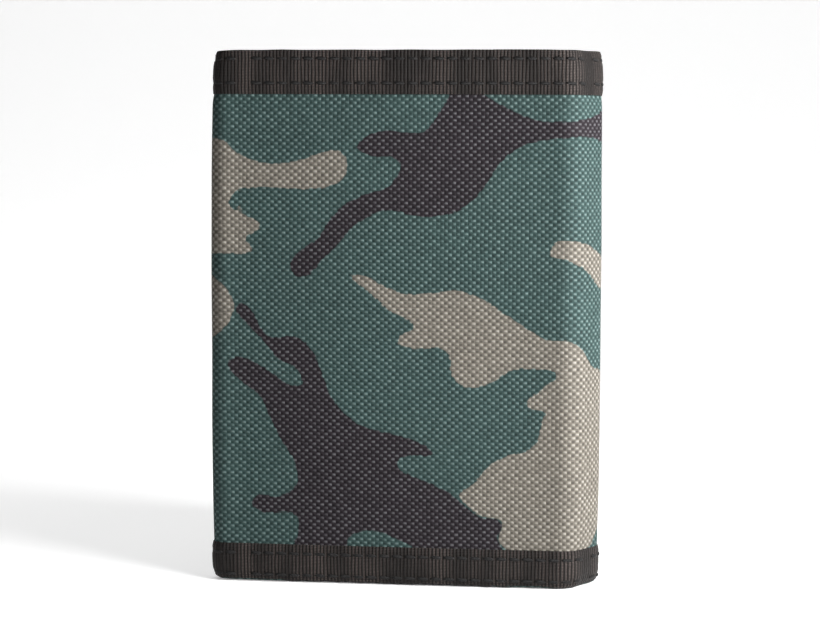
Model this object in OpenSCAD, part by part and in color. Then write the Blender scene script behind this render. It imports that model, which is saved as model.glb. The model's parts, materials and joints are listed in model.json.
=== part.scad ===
// Trifold wallet in woven polyester, bound with folded tape, standing on its
// bottom binding with the outer flap ajar and the inner flap closed.
//
// Each panel is drawn in the flat pattern: u runs along the strip from left to
// right as seen from outside, n is the depth inwards from the outside face of
// the shell, and z is up.  The placing modules then fold the pattern about
// vertical crease axes.  The spines are the two narrow strips between panels.

/* [Body] */
// Height of the wallet
height = 121; // [100:1:146]
// Width of the centre panel, over the outside of its two creases
center_w = 82; // [76:1:100]
// How much narrower than the centre panel the outer flap is
outer_flap_short = 3; // [2.5:0.5:8]
// How much narrower than the centre panel the inner flap is
inner_flap_short = 10; // [9:0.5:16]
// How far the outer flap stands open at rest, in degrees, 0 being closed
rest_opening = 60; // [60:1:150]

/* [Cloth] */
// Thickness of the printed shell cloth
shell_t = 0.6; // [0.4:0.1:0.8]
// Thickness of the divider in the bill compartment
divider_t = 0.2; // [0.1:0.05:0.3]
// Thickness of the interior cloth
interior_t = 0.4; // [0.3:0.05:0.6]
// Thickness of the pocket cloth
pocket_t = 0.35; // [0.25:0.05:0.5]
// Thickness of the clear window sheet
window_t = 0.25; // [0.15:0.05:0.4]
// Space on each side of the bill divider
bill_gap = 0.3; // [0.2:0.05:0.6]
// Space between the shell's top binding and the interior's, one below the other
binding_gap = 1.9; // [0.5:0.1:6]

/* [Binding tape] */
// Width of the tape before it is folded over an edge
tape_w = 20; // [16:1:21]
// Thickness of the tape
tape_t = 0.45; // [0.3:0.05:0.6]

/* [Creases] */
// Depth of a crease axis below the outside face
crease_n = 0.65; // [0.6:0.05:0.8]
// Space across a crease between two panels' outer layers
crease_gap = 0.3; // [0.2:0.05:0.5]
// Space left between inner layers when a crease is folded square
miter_gap = 0.25; // [0.2:0.05:0.5]
// Space between the panels that face each other when closed
closed_gap = 0.35; // [0.3:0.05:1]

/* [Card slots and window] */
// Space between the interior's top binding and a pocket below it
pocket_gap = 1; // [0.5:0.5:4]
// How far each card slot's top edge lies below the one behind it
slot_step = 14; // [8:1:20]
// Distance from a crease axis to the card slots or the window's backing
slot_margin = 4; // [3.5:0.5:6]
// How far the window sheet lies inside its backing, at the sides and top
window_inset = 3; // [1:0.5:8]
// Width of the trim round the window
window_trim_w = 6; // [4:0.5:8]

/* [Hook and loop] */
// Width of the hook strip
hook_w = 16; // [12:1:20]
// Width of the loop strip
loop_w = 20; // [16:1:24]
// Height of the strips' bottom ends
strip_bottom = 30; // [20:1:40]
// Thickness of each strip with its pile
strip_t = 1.6; // [1:0.1:1.8]
// How far the strips' top ends lie below the middle of the zip
strip_drop = 6; // [4:0.5:20]

/* [Coin pocket] */
// Distance from the outer flap's crease axis to the coin pocket
coin_margin = 8; // [8:0.5:12]
// Space between the coin pocket and the tape below it or the strip beside it
coin_gap = 2; // [1:0.5:5]
// Width of the turned-down edge that joins the pocket to the interior
coin_rim_w = 1; // [0.8:0.1:1.5]
// Width of the opening that the zip lies in
zip_opening = 8.4; // [7:0.2:10]
// Space between the zip's upper tape and the pocket's sewn top edge
zip_margin = 0.2; // [0.1:0.1:5]

/* [Zip] */
// Width of one woven zip tape, measured from its coil
zip_tape_w = 5; // [4:0.5:5.5]
// Thickness of the zip tape
zip_tape_t = 0.4; // [0.3:0.05:0.5]
// Width of one coil
coil_w = 1.3; // [1:0.1:1.6]
// Thickness of one coil
coil_t = 0.9; // [0.8:0.1:1.2]
// Slit between the coils, in which the slider's neck runs
coil_slit = 1; // [0.9:0.1:1.2]
// Length of the stop at each end of the coils
stop_l = 1.2; // [0.8:0.1:2]
// Clearance round the slider and the pull
slider_clearance = 0.15; // [0.12:0.01:0.2]
// Thickness of the slider's two plates and of its bridge
slider_plate_t = 0.45; // [0.4:0.05:0.6]
// Length of the slider
slider_l = 8; // [7:0.5:9]
// Length of the neck between the slider's plates
neck_l = 2; // [1.5:0.1:3]
// Length of the slider's bridge
bridge_l = 5.2; // [4:0.2:6]
// Length of each of the bridge's two feet
bridge_foot_l = 0.8; // [0.6:0.1:1.2]
// Width of the slider's bridge
bridge_w = 1.6; // [1.2:0.1:2]
// Diameter of the pull's cross pin
pull_pin_d = 0.56; // [0.4:0.02:0.58]
// Length of the pull from its pin
pull_l = 12; // [9:0.5:12]
// Width of the pull
pull_w = 4.6; // [4:0.2:5]
// Thickness of the pull
pull_t = 0.6; // [0.5:0.05:0.6]
// Length of the pull's two arms, from the pin to its plate
pull_arm_l = 4.4; // [3.5:0.1:5]
// Diameter of the hole in the pull
pull_hole_d = 2.4; // [1.5:0.1:3]

/* [Hidden] */

SHELL_GREEN = [0.30, 0.40, 0.38];
TAPE_BLACK = [0.20, 0.18, 0.17];
INTERIOR_BLACK = [0.13, 0.13, 0.14];
DIVIDER_GREY = [0.22, 0.22, 0.23];
WINDOW_CLEAR = [0.85, 0.90, 0.92, 0.4];
METAL_GREY = [0.55, 0.55, 0.57];

// Depths of the layers, from the outside face inwards
divider_n = shell_t + bill_gap;
interior_n = divider_n + divider_t + bill_gap;
interior_face = interior_n + interior_t;
window_n = interior_face + pocket_t;
window_face = window_n + window_t;
slot_face = interior_face + 3 * pocket_t;

// Depths of the zip's parts, inwards from the interior cloth
slider_back = interior_face + slider_clearance;
channel_back = slider_back + slider_plate_t;
coil_n = channel_back + slider_clearance;
channel_front = coil_n + coil_t + slider_clearance;
slider_face = channel_front + slider_plate_t;
pull_axis_n = slider_face + slider_clearance / 2 + pull_t / 2;
bridge_bar_n = pull_axis_n + pull_t / 2 + slider_clearance / 2;
bridge_face = bridge_bar_n + slider_plate_t;
zip_tape_n = coil_n + (coil_t - zip_tape_t) / 2;
coin_front_n = zip_tape_n + zip_tape_t;

// Widths of the two spines, so that the closed layers just clear each other
center_depth = window_face + tape_t;
inner_flap_depth = slot_face + tape_t;
outer_flap_depth = max(bridge_face + tape_t, interior_face + 2 * strip_t);
inner_spine_w = center_depth + inner_flap_depth + closed_gap;
outer_spine_w = inner_spine_w + closed_gap + outer_flap_depth;

// How far each side of a folded tape covers the cloth
function tape_leg(stack) = (tape_w - stack) / 2;
top_leg = tape_leg(shell_t);
bottom_leg = tape_leg(window_face);
interior_leg = tape_leg(interior_t);
end_leg = tape_leg(interior_face);

// Height of the interior's top edge, and of the tops of what lies below it
interior_top = height - tape_t - top_leg - binding_gap - tape_t;
pocket_top = interior_top - interior_leg - pocket_gap;
window_top = pocket_top - window_inset;

// A span is [left, right, is the left a crease, is the right a crease]
center_span = [-(center_w / 2 - crease_n), center_w / 2 - crease_n, true, true];
outer_spine_span = [0, outer_spine_w - 2 * crease_n, true, true];
outer_flap_span = [0, center_w - outer_flap_short - crease_n, true, false];
inner_spine_span = [-(inner_spine_w - 2 * crease_n), 0, true, true];
inner_flap_span = [-(center_w - inner_flap_short - crease_n), 0, false, true];

// How far a layer that reaches this depth stays back from a crease axis
function setback(depth) = max(crease_gap / 2, depth - crease_n + miter_gap);
// Left and right ends of such a layer, where margin is its setback from a free end
function left_end(span, depth, margin) = span[0] + (span[2] ? setback(depth) : margin);
function right_end(span, depth, margin) = span[1] - (span[3] ? setback(depth) : margin);

// Where the inner leg of the bottom tape ends, above each stack of layers
function inner_leg_top(stack) = tape_w - stack - bottom_leg;

// The window's backing and the clear sheet on it, from side to side
backing_half = center_span[1] - slot_margin;
window_half = backing_half - window_inset;

// The hook strip lies beside the end tape, and meets the loop strip when closed
hook_right = outer_flap_span[1] - end_leg;
hook_left = hook_right - hook_w;
loop_mid = (hook_left + hook_right) / 2 - (center_span[1] - center_span[0]);

// The coin pocket fills the rest of the outer flap
coin_u = [coin_margin, hook_left - coin_gap];
coin_z = [inner_leg_top(interior_face) + coin_gap, pocket_top];
zip_half_w = coil_slit / 2 + coil_w + zip_tape_w;
zip_z = coin_z[1] - coin_rim_w - zip_margin - zip_half_w;
zip_u = [coin_u[0] + coin_rim_w, coin_u[1] - coin_rim_w];
strip_z = [strip_bottom, zip_z - strip_drop];

// The slider rests against the stop farthest from the crease
slider_u = zip_u[1] - stop_l - slider_clearance - slider_l / 2;
flange_z = coil_slit / 2 + coil_w + slider_clearance;
slider_half_w = flange_z + slider_plate_t;

// ---- placing ------------------------------------------------------------

module at_center() {
    translate([0, crease_n, 0]) children();
}

module at_outer_spine() {
    at_center() translate([center_span[1], 0, 0])
        rotate([0, 0, 90 - rest_opening / 2]) children();
}

module at_outer_flap() {
    at_outer_spine() translate([outer_spine_span[1], 0, 0])
        rotate([0, 0, 90 - rest_opening / 2]) children();
}

module at_inner_spine() {
    at_center() translate([center_span[0], 0, 0]) rotate([0, 0, -90]) children();
}

module at_inner_flap() {
    at_inner_spine() translate([inner_spine_span[0], 0, 0]) rotate([0, 0, -90]) children();
}

// ---- shapes that repeat -------------------------------------------------

// A flat block from [u, n, z] to [u, n, z] in a panel's own pattern
module block(low, high) {
    translate([low[0], low[1] - crease_n, low[2]]) cube(high - low);
}

// The same, with its spans along u, n and z each given in either order
module slab(u, n, z) {
    block([min(u), min(n), min(z)], [max(u), max(n), max(z)]);
}

module cloth(span, n, z, tone) {
    u = [left_end(span, n[1], tape_t), right_end(span, n[1], tape_t)];
    color(tone) slab(u, n, z);
}

module shell(span) {
    cloth(span, [0, shell_t], [tape_t, height - tape_t], SHELL_GREEN);
}

module bill_divider(span) {
    cloth(span, [divider_n, divider_n + divider_t], [tape_t, pocket_top], DIVIDER_GREY);
}

module interior(span) {
    cloth(span, [interior_n, interior_face], [tape_t, interior_top], INTERIOR_BLACK);
}

// Tape folded over an edge from its outer side to its inner side.  The legs end
// at different setbacks, because only the inner one is in the way of a fold.
module folded_tape(span, n, outer_z, web_z, inner_z) {
    outer_u = [left_end(span, 0, end_leg), right_end(span, 0, end_leg)];
    inner_u = [left_end(span, n[1] + tape_t, end_leg), right_end(span, n[1] + tape_t, end_leg)];
    color(TAPE_BLACK) {
        slab(n[0] > 0 ? inner_u : outer_u, [n[0] - tape_t, n[0]], outer_z);
        slab(inner_u, n, web_z);
        slab(inner_u, [n[1], n[1] + tape_t], inner_z);
    }
}

// Tape over a top edge: n is the depth of the cloth that it holds
module top_tape(span, n, edge, leg) {
    z = [edge - leg, edge + tape_t];
    folded_tape(span, n, z, [edge, edge + tape_t], z);
}

module top_binding(span) {
    top_tape(span, [0, shell_t], height - tape_t, top_leg);
}

module interior_binding(span) {
    top_tape(span, [interior_n, interior_face], interior_top, interior_leg);
}

// Tape round the bottom edge of every layer in the stack
module bottom_binding(span, stack) {
    folded_tape(span, [0, stack], [0, bottom_leg], [0, tape_t], [0, inner_leg_top(stack)]);
}

// Tape round the free end of a flap: outwards is +1 to the right, -1 to the left
module end_binding(edge, outwards) {
    leg = edge - outwards * end_leg;
    web = edge - outwards * tape_t;
    lip = interior_top + tape_t;
    color(TAPE_BLACK) {
        slab([leg, edge], [-tape_t, 0], [0, height]);
        slab([web, edge], [0, interior_face], [0, lip]);
        slab([leg, edge], [interior_face, interior_face + tape_t], [0, lip]);
        slab([web, edge], [0, shell_t + tape_t], [lip, height]);
        slab([leg, web], [shell_t, shell_t + tape_t], [lip, height]);
        slab([leg, web], [0, shell_t], [height - tape_t, height]);
    }
}

// ---- centre panel -------------------------------------------------------

module shell_center() { at_center() shell(center_span); }
module bill_divider_center() { at_center() bill_divider(center_span); }
module interior_center() { at_center() interior(center_span); }
module top_binding_center() { at_center() top_binding(center_span); }
module interior_binding_center() { at_center() interior_binding(center_span); }
module bottom_binding_center() { at_center() bottom_binding(center_span, window_face); }

module window_backing() {
    color(INTERIOR_BLACK) at_center()
        slab([-backing_half, backing_half], [interior_face, window_n], [tape_t, pocket_top]);
}

module id_window() {
    color(WINDOW_CLEAR) at_center()
        slab([-window_half, window_half], [window_n, window_face], [tape_t, window_top]);
}

// A flat frame over the window's sides and top, and above the bottom tape
module window_trim() {
    n = [window_face, window_face + tape_t];
    bottom = inner_leg_top(window_face);
    opening = window_half - window_trim_w;
    color(TAPE_BLACK) at_center() difference() {
        slab([-window_half, window_half], n, [bottom, window_top]);
        slab([-opening, opening], [n[0] - 1, n[1] + 1], [bottom - 1, window_top - window_trim_w]);
    }
}

// ---- outer spine --------------------------------------------------------

module shell_outer_spine() { at_outer_spine() shell(outer_spine_span); }
module bill_divider_outer_spine() { at_outer_spine() bill_divider(outer_spine_span); }
module interior_outer_spine() { at_outer_spine() interior(outer_spine_span); }
module top_binding_outer_spine() { at_outer_spine() top_binding(outer_spine_span); }
module interior_binding_outer_spine() { at_outer_spine() interior_binding(outer_spine_span); }
module bottom_binding_outer_spine() {
    at_outer_spine() bottom_binding(outer_spine_span, interior_face);
}

// ---- outer flap ---------------------------------------------------------

module shell_outer_flap() { at_outer_flap() shell(outer_flap_span); }
module bill_divider_outer_flap() { at_outer_flap() bill_divider(outer_flap_span); }
module interior_outer_flap() { at_outer_flap() interior(outer_flap_span); }
module top_binding_outer_flap() { at_outer_flap() top_binding(outer_flap_span); }
module interior_binding_outer_flap() { at_outer_flap() interior_binding(outer_flap_span); }
module bottom_binding_outer_flap() {
    at_outer_flap() bottom_binding(outer_flap_span, interior_face);
}
module end_binding_outer_flap() { at_outer_flap() end_binding(outer_flap_span[1], 1); }

module hook_strip() {
    color(INTERIOR_BLACK) at_outer_flap()
        slab([hook_left, hook_right], [interior_face, interior_face + strip_t], strip_z);
}

// Half of the coin pocket's front: a plate with its three sewn edges turned down
module coin_pocket_half(z, rim_z) {
    down = [interior_face, coin_front_n];
    color(INTERIOR_BLACK) at_outer_flap() {
        slab(coin_u, [coin_front_n, coin_front_n + pocket_t], z);
        slab([coin_u[0], zip_u[0]], down, z);
        slab([zip_u[1], coin_u[1]], down, z);
        slab(zip_u, down, rim_z);
    }
}

module coin_pocket_lower() {
    coin_pocket_half([coin_z[0], zip_z - zip_opening / 2], [coin_z[0], coin_z[0] + coin_rim_w]);
}

module coin_pocket_upper() {
    coin_pocket_half([zip_z + zip_opening / 2, coin_z[1]], [coin_z[1] - coin_rim_w, coin_z[1]]);
}

// ---- zip ----------------------------------------------------------------

// A strip along the zip, on its upper side for +1 and its lower side for -1
module zip_half(side, n, near, far, tone) {
    color(tone) at_outer_flap() slab(zip_u, n, [zip_z + side * near, zip_z + side * far]);
}

module zip_tape(side) {
    near = coil_slit / 2 + coil_w;
    zip_half(side, [zip_tape_n, coin_front_n], near, zip_half_w, INTERIOR_BLACK);
}

module zip_coil(side) {
    near = coil_slit / 2;
    zip_half(side, [coil_n, coil_n + coil_t], near, near + coil_w, DIVIDER_GREY);
}

module zip_tape_lower() { zip_tape(-1); }
module zip_tape_upper() { zip_tape(1); }
module zip_coil_lower() { zip_coil(-1); }
module zip_coil_upper() { zip_coil(1); }

// A small staple across the slit at each end of the coils
module zip_stops() {
    z = [zip_z - coil_slit / 2, zip_z + coil_slit / 2];
    color(METAL_GREY) at_outer_flap() for (u = [zip_u[0], zip_u[1] - stop_l])
        slab([u, u + stop_l], [coil_n, coil_n + coil_t], z);
}

// Places a child drawn about the slider's middle, on the middle of the zip
module at_slider() {
    at_outer_flap() translate([slider_u, 0, zip_z]) children();
}

// Two plates joined by a neck in the slit, flanges that hold the coils, and a
// bridge over the front plate for the pull
module zip_slider() {
    ends = [-slider_l / 2, slider_l / 2];
    neck_z = coil_slit / 2 - slider_clearance;
    foot = [bridge_l / 2 - bridge_foot_l, bridge_l / 2];
    color(METAL_GREY) at_slider() {
        slab(ends, [slider_back, channel_back], [-slider_half_w, slider_half_w]);
        slab(ends, [channel_front, slider_face], [-slider_half_w, slider_half_w]);
        slab([ends[1] - neck_l, ends[1]], [channel_back, channel_front], [-neck_z, neck_z]);
        slab([-bridge_l / 2, bridge_l / 2], [bridge_bar_n, bridge_face], bridge_w / 2 * [-1, 1]);
        for (side = [-1, 1]) {
            z = side * [flange_z, slider_half_w];
            slab(ends, [channel_back, zip_tape_n - slider_clearance], z);
            slab(ends, [coin_front_n + slider_clearance, channel_front], z);
            slab(side * foot, [slider_face, bridge_bar_n], bridge_w / 2 * [-1, 1]);
        }
    }
}

// The pull lies back along the zip: a cross pin under the bridge, two arms
// beside it, and a plate with a round end and a round hole
module zip_pull() {
    n = [pull_axis_n - pull_t / 2, pull_axis_n + pull_t / 2];
    arm_z = [bridge_w / 2 + slider_clearance, pull_w / 2];
    tip_u = -pull_l + pull_w / 2;
    color(METAL_GREY) at_slider() {
        translate([0, pull_axis_n - crease_n, -pull_w / 2])
            cylinder(d = pull_pin_d, h = pull_w, $fn = 32);
        for (side = [-1, 1])
            slab([-pull_arm_l, 0], n, side * arm_z);
        difference() {
            union() {
                slab([tip_u, -pull_arm_l], n, pull_w / 2 * [-1, 1]);
                across_pull(tip_u, n) cylinder(d = pull_w, h = pull_t, $fn = 48);
            }
            across_pull(tip_u, n) translate([0, 0, -pull_t])
                cylinder(d = pull_hole_d, h = 3 * pull_t, $fn = 48);
        }
    }
}

// Stands a child's own z axis along n, from the pull's outer side
module across_pull(u, n) {
    translate([u, n[0] - crease_n, 0]) rotate([-90, 0, 0]) children();
}

// ---- inner spine --------------------------------------------------------

module shell_inner_spine() { at_inner_spine() shell(inner_spine_span); }
module bill_divider_inner_spine() { at_inner_spine() bill_divider(inner_spine_span); }
module interior_inner_spine() { at_inner_spine() interior(inner_spine_span); }
module top_binding_inner_spine() { at_inner_spine() top_binding(inner_spine_span); }
module interior_binding_inner_spine() { at_inner_spine() interior_binding(inner_spine_span); }
module bottom_binding_inner_spine() {
    at_inner_spine() bottom_binding(inner_spine_span, interior_face);
}

// ---- inner flap ---------------------------------------------------------

module shell_inner_flap() { at_inner_flap() shell(inner_flap_span); }
module bill_divider_inner_flap() { at_inner_flap() bill_divider(inner_flap_span); }
module interior_inner_flap() { at_inner_flap() interior(inner_flap_span); }
module top_binding_inner_flap() { at_inner_flap() top_binding(inner_flap_span); }
module interior_binding_inner_flap() { at_inner_flap() interior_binding(inner_flap_span); }
module bottom_binding_inner_flap() {
    at_inner_flap() bottom_binding(inner_flap_span, slot_face);
}
module end_binding_inner_flap() { at_inner_flap() end_binding(inner_flap_span[0], -1); }

// One card slot, counted from 0 at the back, which is the tallest
module card_slot(step) {
    u = [inner_flap_span[0] + end_leg, inner_flap_span[1] - slot_margin];
    n = interior_face + step * pocket_t;
    color(INTERIOR_BLACK) at_inner_flap()
        slab(u, [n, n + pocket_t], [tape_t, pocket_top - step * slot_step]);
}

module card_slot_back() { card_slot(0); }
module card_slot_middle() { card_slot(1); }
module card_slot_front() { card_slot(2); }

module loop_strip() {
    color(INTERIOR_BLACK) at_inner_flap()
        slab([loop_mid - loop_w / 2, loop_mid + loop_w / 2], [-strip_t, 0], strip_z);
}

// ---- the wallet ---------------------------------------------------------

shell_center();
bill_divider_center();
interior_center();
top_binding_center();
interior_binding_center();
bottom_binding_center();
window_backing();
id_window();
window_trim();
shell_outer_spine();
bill_divider_outer_spine();
interior_outer_spine();
top_binding_outer_spine();
interior_binding_outer_spine();
bottom_binding_outer_spine();
shell_outer_flap();
bill_divider_outer_flap();
interior_outer_flap();
top_binding_outer_flap();
interior_binding_outer_flap();
bottom_binding_outer_flap();
end_binding_outer_flap();
hook_strip();
coin_pocket_lower();
coin_pocket_upper();
zip_tape_lower();
zip_tape_upper();
zip_coil_lower();
zip_coil_upper();
zip_stops();
zip_slider();
zip_pull();
shell_inner_spine();
bill_divider_inner_spine();
interior_inner_spine();
top_binding_inner_spine();
interior_binding_inner_spine();
bottom_binding_inner_spine();
shell_inner_flap();
bill_divider_inner_flap();
interior_inner_flap();
top_binding_inner_flap();
interior_binding_inner_flap();
bottom_binding_inner_flap();
end_binding_inner_flap();
card_slot_back();
card_slot_middle();
card_slot_front();
loop_strip();
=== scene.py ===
"""Trifold wallet of camouflage cloth bound in ribbed tape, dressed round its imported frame.

Meshes are drawn in the wallet's flat pattern, in millimetres: s runs along the strip of cloth from the
inner flap to the outer flap with 0 at the middle of the centre panel, n is the depth inwards from the
outside of the shell, and z is up.  A Strip then folds the pattern into the rest pose, in metres.
"""
import json
import logging
import math
from collections.abc import Callable, Iterable, Sequence
from dataclasses import dataclass
from enum import Enum

import bmesh
import bpy
import numpy as np
from mathutils import Matrix, Vector


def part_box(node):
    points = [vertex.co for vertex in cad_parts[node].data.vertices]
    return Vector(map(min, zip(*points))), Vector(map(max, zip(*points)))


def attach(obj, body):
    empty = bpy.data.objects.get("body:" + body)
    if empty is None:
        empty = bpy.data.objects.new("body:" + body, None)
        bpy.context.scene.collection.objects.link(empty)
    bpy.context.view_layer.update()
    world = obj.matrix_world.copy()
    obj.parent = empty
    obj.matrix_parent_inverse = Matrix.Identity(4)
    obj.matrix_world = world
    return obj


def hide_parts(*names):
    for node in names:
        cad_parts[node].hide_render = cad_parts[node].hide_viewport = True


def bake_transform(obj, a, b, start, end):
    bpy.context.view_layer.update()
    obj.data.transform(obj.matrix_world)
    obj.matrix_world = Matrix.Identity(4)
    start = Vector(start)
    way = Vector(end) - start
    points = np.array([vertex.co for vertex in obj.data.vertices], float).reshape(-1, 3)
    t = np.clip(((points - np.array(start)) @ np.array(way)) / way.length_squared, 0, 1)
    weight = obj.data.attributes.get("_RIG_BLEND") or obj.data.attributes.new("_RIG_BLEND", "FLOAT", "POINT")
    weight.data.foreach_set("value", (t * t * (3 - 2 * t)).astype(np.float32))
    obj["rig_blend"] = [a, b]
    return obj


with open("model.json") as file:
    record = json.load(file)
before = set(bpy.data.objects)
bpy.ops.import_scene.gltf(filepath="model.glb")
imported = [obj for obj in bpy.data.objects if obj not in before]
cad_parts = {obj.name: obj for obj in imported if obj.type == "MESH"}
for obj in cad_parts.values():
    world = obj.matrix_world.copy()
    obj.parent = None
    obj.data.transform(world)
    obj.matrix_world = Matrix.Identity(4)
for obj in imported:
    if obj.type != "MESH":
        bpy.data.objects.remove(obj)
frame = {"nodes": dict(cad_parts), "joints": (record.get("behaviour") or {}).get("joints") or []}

LOG = logging.getLogger("wallet")
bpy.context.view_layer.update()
MM = 0.001
# In millimetres: a stitch's pitch, how far a stitch beds into tape, how far one stands off cloth,
# and the distance that counts as nowhere near a printed shape.
STITCH = 2.95
BEDDED = 0.02
PROUD = 0.03
FAR = 50.0
Colour = tuple[float, float, float]
Span = tuple[float, float]
Numbers = float | np.ndarray


# ---- the folded strip ---------------------------------------------------


def smooth(low: float, high: float, value: Numbers) -> Numbers:
    """Returns a smooth step from 0 at low to 1 at high."""
    t = np.clip((value - low) / (high - low), 0.0, 1.0)
    return t * t * (3 - 2 * t)


def ripple(a: Numbers, b: Numbers, seed: float) -> Numbers:
    """Returns soft uneven waves from about -1 to 1, one long wave to each unit of a and b."""
    total = 0.0
    for k in range(4):
        turn = seed * 1.7 + k * 2.4
        run = (a * math.cos(turn) + b * math.sin(turn)) * (0.6 + 0.35 * k)
        total = total + np.sin(2 * math.pi * run + seed * 5.1 + k * 1.9) / (1 + 0.5 * k)
    return total / 2.6


def joint_axis(name: str) -> Vector:
    """Returns where a vertical hinge of the frame stands, seen from above, in millimetres."""
    found = next(j for j in frame["joints"] if j["name"] == name)
    return Vector(found["pos_m"][:2]) / MM


class Path:
    """A line of straight and round stretches in a plane, followed by its distance."""

    def __init__(self, start: Span, heading: float, stretches: Sequence[Span]) -> None:
        """Lays the stretches end to end.

        Args:
            start: Where the line starts.
            heading: The direction in which it starts.
            stretches: Each stretch's length and the angle that it turns through.
        """
        rows = [(0.0, *start, heading)]
        for length, turn in stretches:
            steps = max(1, math.ceil(abs(turn) / math.radians(3)))
            part, run = turn / steps, length / steps
            chord = run * float(np.sinc(part / 2 / math.pi))
            for _ in range(steps):
                t, x, y, a = rows[-1]
                middle = a + part / 2
                rows.append((t + run, x + chord * math.cos(middle), y + chord * math.sin(middle),
                             a + part))
        self.rows = np.array(rows).T
        self.marks = list(np.cumsum([length for length, _ in stretches]))

    def at(self, t: Numbers) -> tuple[Numbers, ...]:
        """Returns x, y and the heading at a distance t from the start."""
        return tuple(np.interp(t, self.rows[0], row) for row in self.rows[1:])


@dataclass
class Arm:
    """One half of the strip seen from above: half the centre panel, a spine and a flap."""

    first: Vector
    second: Vector
    reach: float
    radii: Span

    def __post_init__(self) -> None:
        """Lays the half's outside as a path, with 5 mm to spare after the free end."""
        step = self.second - self.first
        turn = math.atan2(step.y, step.x)
        tuck = self.first.y * math.tan(turn / 2)
        lost = [radius * math.tan(turn / 2) for radius in self.radii]
        bends = [(radius * turn, turn) for radius in self.radii]
        panel = (self.first.x + tuck - lost[0], 0.0)
        spine = (step.length + 2 * tuck - sum(lost), 0.0)
        flap = (self.reach + tuck - lost[1], 0.0)
        self.path = Path((0.0, 0.0), 0.0, (panel, bends[0], spine, bends[1], flap, (5.0, 0.0)))
        self.marks = self.path.marks

    def from_second(self, u: float) -> float:
        """Returns s of a point on the flap, from its distance u to the second crease axis."""
        return self.marks[4] - self.reach + u


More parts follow.
